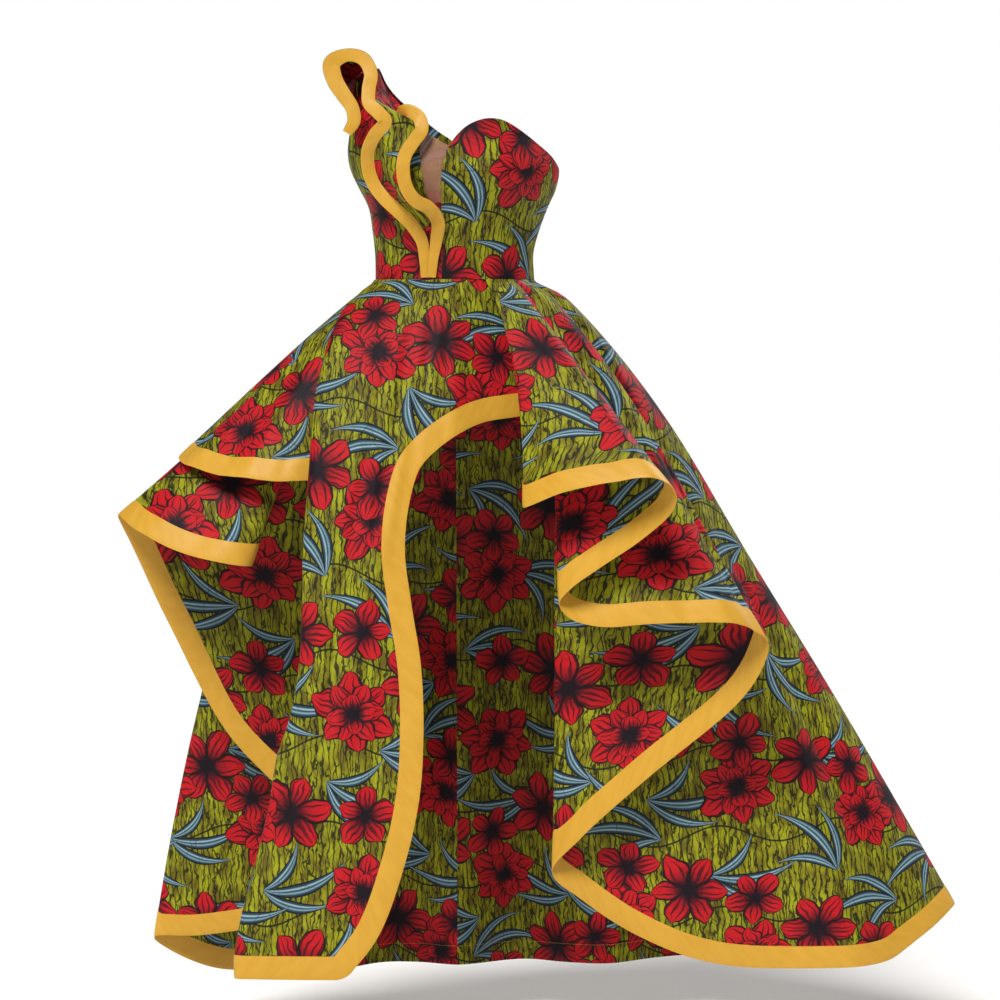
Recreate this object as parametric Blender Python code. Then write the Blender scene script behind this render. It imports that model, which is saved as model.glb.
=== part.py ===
"""A one-shoulder ball gown in printed cotton, as thin cloth walls at their real size.

Metres, +Z up.  The front of the gown faces -Y and +X is the wearer's left.  The origin is the
middle of the waist, where the wearer holds the gown up.
"""
import math

import bmesh
import bpy
import numpy as np

# ---- Driving dimensions ---------------------------------------------------------------------
WALL = 0.002            # thickness of every cloth wall
SEAM = 0.0004           # gap between two pieces at a seam
BAND = 0.037            # width of the bias binding on the skirt's free edges
RUFFLE_BAND = 0.022     # width of the bias binding on the neckline ruffle
WAIST_SIDE = 0.130      # half the waist's width
WAIST_FRONT = 0.100     # from the waist's middle to its front
WAIST_BACK = 0.085      # and to its back
SETTLE = 0.012          # depth over which skirt cloth turns from upright to its flare
FLARE_POWER = 0.8       # below 1 the flare eases off toward the floor
GATHER_STAND = 0.024    # how far the gathers stand the skirt out on the wearer's left
GATHER_RISE = 0.016     # depth over which they spread
GATHER_REACH = 0.36     # depth down to which they hold it out
CENTRE_SEAM_X = -0.0205  # the bodice's front seam lies a little to the wearer's right
UNDERARM = 0.180        # height of the armhole's lowest point above the waist
SHOULDER = 0.346        # height of the shoulder seam above the waist
SKIRT_ROWS = 11         # rows of faces down a skirt panel
ROW_EASE = 1.5          # above 1 the rows lie closer together near the waist
BODICE_COLUMNS = 9      # columns of points across a bodice panel
BODICE_ROWS = 10        # rows of points up the wearer's left half of the bodice

# Bodice sections: height, half-width to the wearer's right and left, depth to front and back.
TORSO = [
    # height, right, left, front, back
    (-0.010, 0.130, 0.130, 0.100, 0.085),
    (0.000, 0.130, 0.130, 0.100, 0.085),
    (0.045, 0.131, 0.129, 0.101, 0.084),
    (0.080, 0.135, 0.138, 0.106, 0.087),
    (0.120, 0.142, 0.153, 0.114, 0.092),
    (0.150, 0.157, 0.166, 0.121, 0.096),
    (0.175, 0.169, 0.171, 0.125, 0.099),
    (0.205, 0.177, 0.167, 0.122, 0.101),
    (0.240, 0.178, 0.160, 0.112, 0.101),
    (0.280, 0.177, 0.158, 0.096, 0.096),
    (0.310, 0.175, 0.158, 0.071, 0.076),
    (0.330, 0.173, 0.158, 0.046, 0.051),
    (0.342, 0.172, 0.158, 0.020, 0.023),
    (SHOULDER, 0.172, 0.158, 0.0004, 0.0004),
]
CUP_X, CUP_Z, CUP_SIZE, CUP_DEPTH = 0.088, 0.165, 0.052, 0.018

# Sweetheart top of the strapless half: how far round from the plunge to the side, and height.
SWEETHEART = [
    # round, height
    (0.00, 0.2060), (0.03, 0.223), (0.07, 0.236), (0.12, 0.247), (0.19, 0.256),
    (0.28, 0.2600), (0.36, 0.257), (0.44, 0.248), (0.55, 0.232), (0.66, 0.216),
    (0.78, 0.202), (0.89, 0.188), (1.00, 0.178),
]

# The half with the strap: height, bearing of its armhole edge, and X of its neckline edge.
STRAP_FRONT = [
    # height, armhole, neckline_x
    (0.0, 270.0, CENTRE_SEAM_X), (0.055, 270.0, CENTRE_SEAM_X), (0.108, 270.0, CENTRE_SEAM_X),
    (0.119, 270.0, -0.036), (0.140, 270.0, -0.046), (0.165, 270.0, -0.051),
    (UNDERARM, 270.0, -0.053), (0.205, 277.0, -0.056), (0.230, 283.0, -0.058),
    (0.255, 287.0, -0.068), (0.280, 289.0, -0.086), (0.302, 289.0, -0.104),
    (0.320, 286.0, -0.115), (0.334, 281.0, -0.121), (0.342, 277.0, -0.124),
    (SHOULDER, 274.0, -0.124),
]
# Its back: height, bearing of the top edge running up from the centre back, and of the armhole.
STRAP_BACK = [
    # height, top_edge, armhole
    (0.0, 180.0, 270.0), (0.055, 180.0, 270.0), (0.108, 180.0, 270.0),
    (0.140, 180.0, 270.0), (0.165, 180.0, 270.0),
    (UNDERARM, 180.0, 270.0), (0.225, 180.0, 261.0), (0.250, 190.0, 256.0),
    (0.280, 203.0, 253.0), (0.305, 214.0, 254.0), (0.325, 221.0, 258.0),
    (0.340, 224.5, 262.0), (SHOULDER, 226.0, 266.0),
]
BACK_TOP = 0.225        # height of the back's top edge at the centre back
SIDE_TOP = 0.178        # and at the wearer's left side seam

# Nude mesh in the plunge: height and X of its two edges.
PLUNGE = [
    # height, right_x, left_x
    (0.1225, -0.0375, CENTRE_SEAM_X), (0.140, -0.046, CENTRE_SEAM_X),
    (0.165, -0.051, CENTRE_SEAM_X), (UNDERARM, -0.053, -0.019), (0.205, -0.056, -0.013),
    (0.230, -0.058, -0.011), (0.247, -0.064, -0.012),
]
MESH_EASE = 0.0009      # how far each side of the mesh stays inside those edges

# Neckline ruffle from the waist to the shoulder: the middles of the outer and inner bindings.
# From row 14 on the ruffle rises in one big flute, and its inner edge is sewn to the strap.
# The last column is the bindings' width as seen there, as a share of RUFFLE_BAND.
RUFFLE = [
    # outer x, y, z,           inner x, y, z,             width
    (-0.048, -0.098, 0.006,   -0.035, -0.101, 0.014,   0.64),
    (-0.049, -0.099, 0.033,   -0.033, -0.103, 0.037,   0.74),
    (-0.052, -0.101, 0.059,   -0.029, -0.107, 0.062,   0.90),
    (-0.067, -0.106, 0.085,   -0.026, -0.120, 0.090,   1.00),
    (-0.091, -0.112, 0.109,   -0.040, -0.135, 0.113,   1.00),
    (-0.115, -0.108, 0.132,   -0.063, -0.145, 0.126,   1.00),
    (-0.132, -0.104, 0.156,   -0.077, -0.150, 0.147,   1.00),
    (-0.140, -0.106, 0.184,   -0.082, -0.151, 0.174,   1.00),
    (-0.139, -0.114, 0.208,   -0.079, -0.148, 0.197,   1.00),
    (-0.128, -0.126, 0.231,   -0.066, -0.142, 0.219,   1.00),
    (-0.111, -0.136, 0.253,   -0.052, -0.134, 0.241,   1.00),
    (-0.123, -0.134, 0.268,   -0.057, -0.126, 0.260,   1.00),
    (-0.137, -0.127, 0.283,   -0.075, -0.117, 0.271,   1.00),
    (-0.138, -0.118, 0.306,   -0.094, -0.098, 0.268,   1.00),
    (-0.135, -0.108, 0.332,   -0.108, -0.071, 0.297,   1.00),
    (-0.148, -0.100, 0.356,   -0.118, -0.047, 0.323,   1.00),
    (-0.174, -0.096, 0.362,   -0.130, -0.026, 0.339,   0.95),
    (-0.198, -0.095, 0.349,   -0.150, -0.018, 0.342,   1.25),
    (-0.194, -0.098, 0.323,   -0.159, -0.021, 0.330,   1.20),
    (-0.180, -0.103, 0.299,   -0.161, -0.030, 0.314,   1.10),
    (-0.165, -0.108, 0.276,   -0.160, -0.038, 0.296,   1.00),
    (-0.162, -0.111, 0.255,   -0.160, -0.045, 0.274,   0.95),
    (-0.173, -0.112, 0.235,   -0.160, -0.052, 0.250,   0.70),
]
RUFFLE_SWELL = (0.0, -0.008, 0.0)   # how far the print swells forward between the bindings
FLUTE_SWELL = 0.016     # how far the flute's cloth rounds outward and back from its binding
FLUTE_ROW = 13          # last row whose inner edge is bound; the flute follows it
FIRST_PRINT_ROW = 2     # below this row the two bindings meet and no print shows between them

# Spread of each skirt layer's cone per metre of flare: to the two sides, the front and back.
SPREADS = {
    # layer: (side_left, side_right, front_left, front_right, back)
    "overskirt": (0.68, 0.60, 0.55, 0.42, 0.30),
    "flounce": (0.72, 0.72, 0.50, 0.50, 0.42),
}

# The circular overskirt's one long free edge, folded into waterfalls at both front openings.
# A fold dies out toward the waist with the given power of the depth: near 1 it hangs straight.
OVERSKIRT = [
    # fold, bearing at the waist, x, y, z, power
    ("left_return", 23.0, 0.124, -0.235, -0.352, 1.5),
    ("left_front", 25.0, 0.111, -0.262, -0.366, 1.5),
    ("layer1_a", 29.0, 0.169, -0.305, -0.343, 1.5),
    ("layer1_b", 33.0, 0.247, -0.340, -0.323, 1.5),
    ("layer1_c", 36.0, 0.302, -0.353, -0.316, 1.5),
    ("fold1_before", 38.5, 0.336, -0.350, -0.324, 1.5),
    ("left_fold1", 40.5, 0.352, -0.334, -0.346, 1.5),
    ("fold1_after", 42.0, 0.344, -0.312, -0.373, 1.4),
    ("layer2_a", 44.0, 0.296, -0.285, -0.418, 1.2),
    ("layer2_b", 46.0, 0.230, -0.262, -0.464, 1.0),
    ("valley1_before", 47.5, 0.186, -0.248, -0.497, 0.95),
    ("left_valley1", 49.0, 0.169, -0.234, -0.521, 0.95),
    ("valley1_after", 50.5, 0.185, -0.226, -0.544, 0.95),
    ("layer3_a", 52.0, 0.235, -0.226, -0.558, 1.1),
    ("layer3_b", 54.5, 0.329, -0.240, -0.552, 1.4),
    ("layer3_c", 57.0, 0.416, -0.240, -0.550, 1.5),
    ("fold2_before", 59.0, 0.473, -0.226, -0.559, 1.5),
    ("left_fold2", 61.0, 0.504, -0.203, -0.584, 1.5),
    ("fold2_after", 62.5, 0.500, -0.182, -0.619, 1.4),
    ("layer4_a", 64.0, 0.464, -0.160, -0.680, 1.2),
    ("layer4_b", 66.5, 0.310, -0.120, -0.815, 1.0),
    ("layer4_c", 69.0, 0.205, -0.090, -0.914, 0.9),
    ("left_valley2", 71.5, 0.160, -0.055, -0.975, 0.9),
    ("valley2_after", 74.0, 0.206, -0.040, -1.018, 0.95),
    ("layer5_a", 77.0, 0.300, -0.030, -1.080, 1.2),
    ("layer5_b", 81.0, 0.430, -0.028, -1.127, 1.5),
    ("layer5_c", 85.5, 0.602, -0.010, -1.138, 1.5),
    ("layer5_d", 90.0, 0.721, 0.030, -1.130, 1.5),
    ("left_curl", 94.0, 0.778, 0.080, -1.098, 1.5),
    ("left_corner", 99.0, 0.846, 0.170, -1.053, 1.5),
    ("back_a", 108.0, 0.805, 0.260, -1.090, 1.5),
    ("back_b", 118.0, 0.680, 0.375, -1.140, 1.5),
    ("back_c", 130.0, 0.540, 0.345, -1.165, 1.5),
    ("back_d", 142.0, 0.400, 0.430, -1.178, 1.5),
    ("back_e", 155.0, 0.260, 0.365, -1.184, 1.5),
    ("back_f", 168.0, 0.120, 0.440, -1.186, 1.5),
    ("centre_back", 180.0, 0.000, 0.380, -1.188, 1.5),
    ("back_g", 192.0, -0.120, 0.430, -1.190, 1.5),
    ("back_h", 205.0, -0.235, 0.345, -1.192, 1.5),
    ("back_i", 220.0, -0.340, 0.330, -1.192, 1.5),
    ("back_j", 234.0, -0.432, 0.262, -1.172, 1.5),
    ("right_corner", 248.0, -0.517, 0.215, -1.117, 1.5),
    ("right_layer3_a", 254.0, -0.435, 0.188, -1.110, 1.5),
    ("right_layer3_b", 259.0, -0.315, 0.166, -1.087, 1.3),
    ("right_valley", 263.0, -0.150, 0.112, -1.020, 1.2),
    ("right_layer2_a", 266.0, -0.256, 0.066, -0.885, 1.3),
    ("right_layer2_b", 269.0, -0.381, 0.058, -0.752, 1.5),
    ("right_layer2_c", 272.0, -0.472, 0.044, -0.578, 1.5),
    ("fold3_before", 274.5, -0.535, 0.025, -0.440, 1.5),
    ("right_fold", 277.0, -0.556, -0.004, -0.389, 1.5),
    ("right_layer1_a", 281.0, -0.521, -0.080, -0.408, 1.5),
    ("right_layer1_b", 287.0, -0.457, -0.128, -0.438, 1.5),
    ("right_layer1_c", 295.0, -0.374, -0.160, -0.459, 1.5),
    ("right_front", 302.0, -0.330, -0.145, -0.465, 1.5),
    ("right_return", 308.0, -0.345, -0.060, -0.450, 1.5),
]
OVERSKIRT_PANELS = [
    # node, first fold, last fold
    ("overskirt_front_l", "left_return", "back_a"),
    ("overskirt_back_l", "back_a", "centre_back"),
    ("overskirt_back_r", "centre_back", "right_corner"),
    ("overskirt_front_r", "right_corner", "right_return"),
]

# The hip flounce, from the centre back round the wearer's right hip to behind the front panel.
FLOUNCE = [
    # place, bearing at the waist, x, y, z, power
    ("centre_back", 180.0, 0.000, 0.250, -0.300, 1.5),
    ("back_a", 193.0, -0.085, 0.262, -0.302, 1.5),
    ("back_b", 207.0, -0.175, 0.236, -0.298, 1.5),
    ("back_c", 222.0, -0.265, 0.206, -0.298, 1.5),
    ("back_d", 238.0, -0.350, 0.150, -0.292, 1.5),
    ("hip_a", 254.0, -0.422, 0.080, -0.290, 1.5),
    ("hip_b", 268.0, -0.454, -0.010, -0.291, 1.5),
    ("front_a", 279.0, -0.440, -0.080, -0.302, 1.5),
    ("front_b", 289.0, -0.395, -0.135, -0.314, 1.5),
    ("front_c", 298.0, -0.345, -0.170, -0.321, 1.5),
    ("front_d", 305.0, -0.287, -0.186, -0.326, 1.5),
    ("front_e", 311.0, -0.222, -0.176, -0.325, 1.5),
]

# The long front panel: each row runs from its turned edge, on the wearer's right, to its bound
# edge, which sweeps down from under the overskirt and along the slit.
FRONT_PANEL = [
    # turned x, z,      bound x, z
    (-0.1270, -0.0008,   0.0850, -0.0008),
    (-0.1500, -0.0180,   0.0960, -0.0280),
    (-0.1820, -0.0510,   0.1100, -0.0750),
    (-0.2000, -0.0920,   0.1200, -0.1300),
    (-0.2130, -0.1400,   0.1250, -0.1830),
    (-0.2210, -0.1800,   0.0850, -0.1880),
    (-0.2260, -0.2200,   0.0420, -0.1950),
    (-0.2290, -0.2600,   0.0020, -0.2110),
    (-0.2310, -0.3000,  -0.0460, -0.2430),
    (-0.2350, -0.3500,  -0.0850, -0.2850),
    (-0.2400, -0.4300,  -0.1060, -0.3500),
    (-0.2410, -0.5200,  -0.1140, -0.4350),
    (-0.2450, -0.6100,  -0.1030, -0.5250),
    (-0.2570, -0.6900,  -0.0880, -0.6200),
    (-0.2810, -0.7650,  -0.0840, -0.7200),
    (-0.2930, -0.8400,  -0.0900, -0.8200),
    (-0.3150, -0.9300,  -0.1120, -0.9200),
    (-0.3380, -1.0200,  -0.1500, -1.0250),
    (-0.3480, -1.0770,  -0.1880, -1.0760),
]
BOUND_ROW = 4           # first row whose end is bound
FRONT_COLUMNS = 12
FRONT_ROLL = 0.012      # radius with which the turned edge rolls back


# ---- Curves and walls -----------------------------------------------------------------------
def spline(knots, values, at):
    """A smooth curve through the rows of values, read at the places given by at."""
    knots = np.asarray(knots, float)
    values = np.asarray(values, float)
    at = np.clip(np.asarray(at, float), knots[0], knots[-1])
    if values.ndim == 1:
        return spline(knots, values[:, None], at)[..., 0]
    steps = np.diff(knots)[:, None]
    slopes = np.diff(values, axis=0) / steps
    tangents = np.empty_like(values)
    tangents[0], tangents[-1] = slopes[0], slopes[-1]
    tangents[1:-1] = (slopes[:-1] * steps[1:] + slopes[1:] * steps[:-1]) / (steps[1:] + steps[:-1])
    span = np.clip(np.searchsorted(knots, at, side="right") - 1, 0, len(knots) - 2)
    width = steps[span, 0][..., None]
    t = (at - knots[span])[..., None] / width
    start, end = values[span], values[span + 1]
    lean_in, lean_out = tangents[span] * width, tangents[span + 1] * width
    return ((2 * t**3 - 3 * t**2 + 1) * start + (t**3 - 2 * t**2 + t) * lean_in
            + (3 * t**2 - 2 * t**3) * end + (t**3 - t**2) * lean_out)


def path_knots(points):
    """Knots that keep a smooth curve through uneven points free of loops."""
    lengths = np.linalg.norm(np.diff(np.asarray(points, float), axis=0), axis=1)
    return np.concatenate([[0.0], np.cumsum(np.sqrt(lengths))])


def unit(vectors):
    return vectors / np.maximum(np.linalg.norm(vectors, axis=-1, keepdims=True), 1e-12)


def grid_normals(points):
    """Unit normals of a grid of points, across its rows and columns."""
    return unit(np.cross(np.gradient(points, axis=0), np.gradient(points, axis=1)))


def draw_in(points, side):
    """Moves one border of a grid inward by half a seam gap."""
    points = points.copy()
    border, inner = {"first_row": (0, 1), "last_row": (-1, -2)}.get(side, (None, None))
    if border is not None:
        points[border] += unit(points[inner] - points[border]) * SEAM / 2
    else:
        border, inner = {"first_column": (0, 1), "last_column": (-1, -2)}[side]
        points[:, border] += unit(points[:, inner] - points[:, border]) * SEAM / 2
    return points


def make_material(name, colour, roughness, alpha=1.0):
    material = bpy.data.materials.new(name)
    material.use_nodes = True
    shader = material.node_tree.nodes["Principled BSDF"]
    shader.inputs["Base Color"].default_value = (*colour, 1.0)
    shader.inputs["Roughness"].default_value = roughness
    shader.inputs["Metallic"].default_value = 0.0
    shader.inputs["Alpha"].default_value = alpha
    return material


def add_wall(name, points, normals, material, seams=()):
    """Turns a grid of points into one closed wall of cloth, half its thickness to each side."""
    for side in seams:
        points = draw_in(points, side)
    rows, columns = points.shape[:2]
    bm = bmesh.new()
    layers = []
    for sign in (0.5, -0.5):
        shifted = points + normals * WALL * sign
        layers.append([[bm.verts.new(shifted[i, j]) for j in range(columns)] for i in range(rows)])
    front, back = layers
    for i in range(rows - 1):
        for j in range(columns - 1):
            bm.faces.new((front[i][j], front[i + 1][j], front[i + 1][j + 1], front[i][j + 1]))
            bm.faces.new((back[i][j], back[i][j + 1], back[i + 1][j + 1], back[i + 1][j]))
    border = [(i, 0) for i in range(rows)] + [(rows - 1, j) for j in range(1, columns)]
    border += [(i, columns - 1) for i in range(rows - 2, -1, -1)]
    border += [(0, j) for j in range(columns - 2, 0, -1)]
    for (i, j), (k, m) in zip(border, border[1:] + border[:1]):
        bm.faces.new((front[i][j], back[i][j], back[k][m], front[k][m]))
    bmesh.ops.triangulate(bm, faces=bm.faces[:])
    bmesh.ops.recalc_face_normals(bm, faces=bm.faces[:])
    mesh = bpy.data.meshes.new(name)
    bm.to_mesh(mesh)
    bm.free()
    mesh.shade_smooth()
    mesh.set_sharp_from_angle(angle=math.radians(50))
    mesh.materials.append(material)
    piece = bpy.data.objects.new(name, mesh)
    bpy.context.scene.collection.objects.link(piece)
    return piece


# ---- Bodice ---------------------------------------------------------------------------------
def torso_section(height):
    table = np.array(TORSO)
    return spline(table[:, 0], table[:, 1:], height)


def torso_point(bearing, height):
    """A point of the bodice; the bearing runs in degrees from the front to the wearer's left."""
    section = torso_section(height)
    turn = np.radians(bearing)
    side = np.where(np.sin(turn) > 0, section[..., 1], section[..., 0])
    depth = np.where(np.cos(turn) > 0, section[..., 2], section[..., 3])
    x = side * np.sin(turn)
    y = -depth * np.cos(turn)
    cups = np.exp(-((np.abs(x) - CUP_X) / CUP_SIZE) ** 2 - ((height - CUP_Z) / CUP_SIZE) ** 2)
    y = y - np.where(np.cos(turn) > 0, CUP_DEPTH * cups * np.cos(turn), 0.0)
    return np.stack([x, y, height + 0 * x], axis=-1)


def bearing_at(x, height):
    """Bearing, on the front of the bodice, of the point with this X at this height."""
    section = torso_section(height)
    side = np.where(x > 0, section[..., 1], section[..., 0])
    return np.degrees(np.arcsin(np.clip(x / side, -1, 1)))


def torso_normals(bearing, height):
    """Normals of the bodice's surface, shared by the pieces that meet at a seam."""
    turn, rise = 0.01, 1e-4
    over = torso_point(bearing + turn, height) - torso_point(bearing - turn, height)
    up = torso_point(bearing, height + rise) - torso_point(bearing, height - rise)
    return unit(np.cross(over, up))


def bodice_panel(name, first, last, heights, material, seams):
    """A bodice piece whose rows run between two bearings at each height."""
    share = np.linspace(0, 1, BODICE_COLUMNS)[None, :]
    bearings = first + (last - first) * share
    heights = np.broadcast_to(heights, bearings.shape)
    normals = torso_normals(bearings, heights)
    normals[-1] = (0.0, 0.0, 1.0)
    return add_wall(name, torso_point(bearings, heights), normals, material, seams)


def add_bodice(print_cloth, mesh_cloth):
    rows = np.array(STRAP_FRONT)
    heights = rows[:, :1] + 0.0
    neckline = 360.0 + bearing_at(rows[:, 2:3], heights)
    bodice_panel("bodice_front_r", rows[:, 1:2], neckline, heights, print_cloth,
                 ("first_row", "last_row", "first_column", "last_column"))

    rows = np.array(STRAP_BACK)
    bodice_panel("bodice_back_r", rows[:, 1:2], rows[:, 2:3], rows[:, :1], print_cloth,
                 ("first_row", "last_row", "first_column", "last_column"))

    top = np.array(SWEETHEART)
    rises = np.linspace(0, 1, BODICE_ROWS)[:, None]
    heights = rises * top[None, :, 1]
    plunge = np.array(PLUNGE)
    start = bearing_at(spline(plunge[:, 0], plunge[:, 2], heights), heights)
    bearings = start + (90.0 - start) * top[None, :, 0]
    add_wall("bodice_front_l", torso_point(bearings, heights), torso_normals(bearings, heights),
             print_cloth, ("first_row", "first_column", "last_column"))

    round_back = np.linspace(90.0, 180.0, 9)[None, :]
    top = SIDE_TOP + (BACK_TOP - SIDE_TOP) * (round_back - 90.0) / 90.0
    heights = rises * top
    bearings = np.broadcast_to(round_back, heights.shape)
    add_wall("bodice_back_l", torso_point(bearings, heights), torso_normals(bearings, heights),
             print_cloth, ("first_row", "first_column", "last_column"))

    heights = plunge[:, :1] + np.zeros(4)
    first = bearing_at(plunge[:, 1:2] + MESH_EASE, heights)
    last = bearing_at(plunge[:, 2:3] - MESH_EASE, heights)
    bearings = first + (last - first) * np.linspace(0, 1, 4)
    add_wall("plunge_mesh", torso_point(bearings, heights), torso_normals(bearings, heights),
             mesh_cloth)


# ---- Neckline ruffle ------------------------------------------------------------------------
def ribbon_side(path):
    """Unit vectors across a path as seen from the front, to the right of its direction."""
    along = np.gradient(path, axis=0)
    across = np.stack([along[:, 2], 0 * along[:, 0], -along[:, 0]], axis=1)
    return unit(across)


def add_ruffle(print_cloth, binding_cloth):
    table = np.array(RUFFLE)
    knots = path_knots(table[:, :3])
    fine = np.sort(np.concatenate([knots, (knots[1:] + knots[:-1]) / 2]))
    outer = spline(knots, table[:, :3], fine)
    inner = spline(knots, table[:, 3:6], fine)
    half = RUFFLE_BAND / 2 * spline(knots, table[:, 6], fine)[:, None, None]
    across = np.array([-1.0, 0.0, 1.0])[None, :, None]

    side = ribbon_side(outer)
    outer_band = outer[:, None] + side[:, None] * across * half
    outer_normals = grid_normals(outer_band)
    bound = 2 * FLUTE_ROW + 1
    inner_band = inner[:bound, None] + ribbon_side(inner[:bound])[:, None] * across * half[:bound]
    inner_normals = grid_normals(inner_band)

    first = 2 * FIRST_PRINT_ROW + 1
    start, end = outer_band[first:, 2], inner[first:].copy()
    end[:bound - first] = inner_band[first:, 0]
    rows = np.arange(first, len(fine)) / 2
    fluted = np.clip((rows - FLUTE_ROW + 2) / 3, 0, 1)[:, None]
    swell = (start + end) / 2 + np.array(RUFFLE_SWELL)
    turned = start + side[first:] * FLUTE_SWELL + np.array([0.0, FLUTE_SWELL, 0.0])
    control = swell + (turned - swell) * fluted
    share = np.linspace(0, 1, 6)[None, :, None]
    points = ((1 - share) ** 2 * start[:, None] + 2 * share * (1 - share) * control[:, None]
              + share**2 * end[:, None])
    normals = grid_normals(points)
    normals[:, 0] = unit(outer_normals[first:, 2] + normals[:, 0])
    outer_normals[first:, 2] = normals[:, 0]
    normals[:bound - first, -1] = unit(inner_normals[first:, 0] + normals[:bound - first, -1])
    inner_normals[first:, 0] = normals[:bound - first, -1]
    add_wall("neckline_ruffle", points, normals, print_cloth, ("first_column", "last_column"))
    add_wall("ruffle_binding_outer", outer_band, outer_normals, binding_cloth, ("last_column",))
    add_wall("ruffle_binding_inner", inner_band, inner_normals, binding_cloth, ("first_column",))


# ---- Skirt layers ---------------------------------------------------------------------------
def flare(depth):
    """How far cloth has spread at a depth below the waist, upright at first."""
    return np.maximum(np.sqrt(depth**2 + SETTLE**2) - SETTLE, 0.0) ** FLARE_POWER


def gather_stand(depth):
    """How far the waist's gathers hold the cloth out, most of it just below the waist."""
    return (GATHER_STAND * (1 - np.exp(-(depth / GATHER_RISE) ** 2))
            * np.exp(-(depth / GATHER_REACH) ** 4))


def cone(layer, bearing, depth, lift):
    """The unfolded layer's point, across and from front to back, at a depth below the waist."""
    side_left, side_right, front_left, front_right, back = SPREADS[layer]
    turn = np.radians(bearing)
    spread = flare(depth)
    left = np.sin(turn) > 0
    side = np.where(left, side_left, side_right)
    front = np.where(left, front_left, front_right)
    facing = np.cos(turn) > 0
    reach = np.where(facing, WAIST_FRONT, WAIST_BACK) + np.where(facing, front, back) * spread
    stand = gather_stand(depth) * np.maximum(np.sin(turn), 0.0)
    x = (WAIST_SIDE + lift + side * spread + stand) * np.sin(turn)
    y = -(reach + lift) * np.cos(turn)
    return np.stack([x, y], axis=-1)


def skirt_point(layer, table, place, drop, lift=0.0):
    """A point of a skirt layer: place runs along its free edge, drop from the waist to it."""
    values = np.array([row[1:] for row in table])
    knots = path_knots(values[:, 1:4])
    row = spline(knots, values, place)
    bearing, edge, depth = row[..., 0], row[..., 1:3], -row[..., 3]
    fold = edge - cone(layer, bearing, depth, lift)
    share = np.maximum(drop, 0.0) ** row[..., 4]
    flat = cone(layer, bearing, depth * drop, lift) + fold * share[..., None]
    return np.concatenate([flat, (-depth * drop)[..., None]], axis=-1)


def skirt_places(table, first, last, steps):
    """Places along a free edge, with the same number of steps between each two rows."""
    knots = path_knots([row[2:5] for row in table])
    names = [row[0] for row in table]
    start, end = names.index(first), names.index(last)
    picked = [np.linspace(knots[i], knots[i + 1], steps, endpoint=False)
              for i in range(start, end)]
    return np.concatenate(picked + [[knots[end]]])


def band_share(layer, table, places, lift):
    """Share of the drop taken by the binding, so that it keeps its width square to the edge."""
    bottom = skirt_point(layer, table, places, np.ones_like(places), lift)
    above = skirt_point(layer, table, places, np.full_like(places, 0.97), lift)
    fall = bottom - above
    along = unit(np.gradient(bottom, axis=0))
    square = np.linalg.norm(np.cross(along, unit(fall)), axis=1)
    reach = np.linalg.norm(fall, axis=1) / 0.03
    return BAND / (reach * np.clip(square, 0.6, 1.0))


def surface_normals(layer, table, places, drops, lift):
    """Normals of the skirt surface itself, so that a panel and its binding share them."""
    small = 1e-4
    along = (skirt_point(layer, table, places + small, drops, lift)
             - skirt_point(layer, table, places - small, drops, lift))
    down = (skirt_point(layer, table, places, np.minimum(drops + small, 1.0), lift)
            - skirt_point(layer, table, places, np.maximum(drops - small, 0.0), lift))
    return unit(np.cross(along, down))


def add_skirt_piece(name, layer, table, ends, steps, rows, lift, cloths, seams):
    """A skirt panel from the waist to its binding, and the binding along its free edge."""
    print_cloth, binding_cloth = cloths
    places = skirt_places(table, *ends, steps)
    share = band_share(layer, table, places, lift)
    for part, tops, bottoms, count, cloth in (
            (name, 0 * share + 0.0006, 1 - share, rows, print_cloth),
            (name + "_binding", 1 - share, 0 * share + 1.0, 1, binding_cloth)):
        way = np.linspace(0, 1, count + 1)[:, None] ** ROW_EASE
        drops = tops + (bottoms - tops) * way
        across = np.broadcast_to(places, drops.shape)
        points = skirt_point(layer, table, across, drops, lift)
        normals = surface_normals(layer, table, across, drops, lift)
        edge = "last_row" if part == name else "first_row"
        add_wall(part, points, normals, cloth, (edge,) + seams)


def add_overskirt(cloths):
    for name, first, last in OVERSKIRT_PANELS:
        seams = tuple(side for side, fold, end in
                      (("first_column", first, "left_return"),
                       ("last_column", last, "right_return"))
                      if fold != end)
        add_skirt_piece(name, "overskirt", OVERSKIRT, (first, last), 3, SKIRT_ROWS, 0.0,
                        cloths, seams)


def add_flounce(cloths):
    add_skirt_piece("hip_flounce", "flounce", FLOUNCE, ("centre_back", "front_e"), 2, 6, 0.0024,
                    cloths, ())


# ---- Long front panel -----------------------------------------------------------------------
def front_depth(x, z):
    """Y of the front panel, which hangs in front of the hip and recedes toward the slit."""
    spread = flare(np.abs(z))
    ramp = np.clip(np.abs(z) / 0.05, 0, 1)
    lift = np.interp(x, [-0.10, 0.05], [0.0066, -0.0026])
    reach = WAIST_FRONT + lift + 0.64 * spread / (1 + 2.2 * spread)
    width = WAIST_SIDE + lift + 1.3 * spread / (1 + 1.6 * spread)
    bow = np.sqrt(np.maximum(1 - (x / width) ** 2, 0.0))
    recede = 0.4 * ramp * np.maximum(x, 0.0)
    stand = 0.10 * ramp * np.maximum(-x - 0.08, 0.0)
    return -reach * bow + recede - stand


def front_points(x, z, edge_x):
    """Points of the front panel at X and Z, rolled back close to its turned edge."""
    room = np.clip(FRONT_ROLL - (x - edge_x), 0, FRONT_ROLL)
    roll = FRONT_ROLL - np.sqrt(FRONT_ROLL**2 - room**2)
    roll = roll * np.clip(np.abs(z) / 0.08, 0, 1)
    return np.stack([x, front_depth(x, z) + roll, z], axis=-1)


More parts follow.
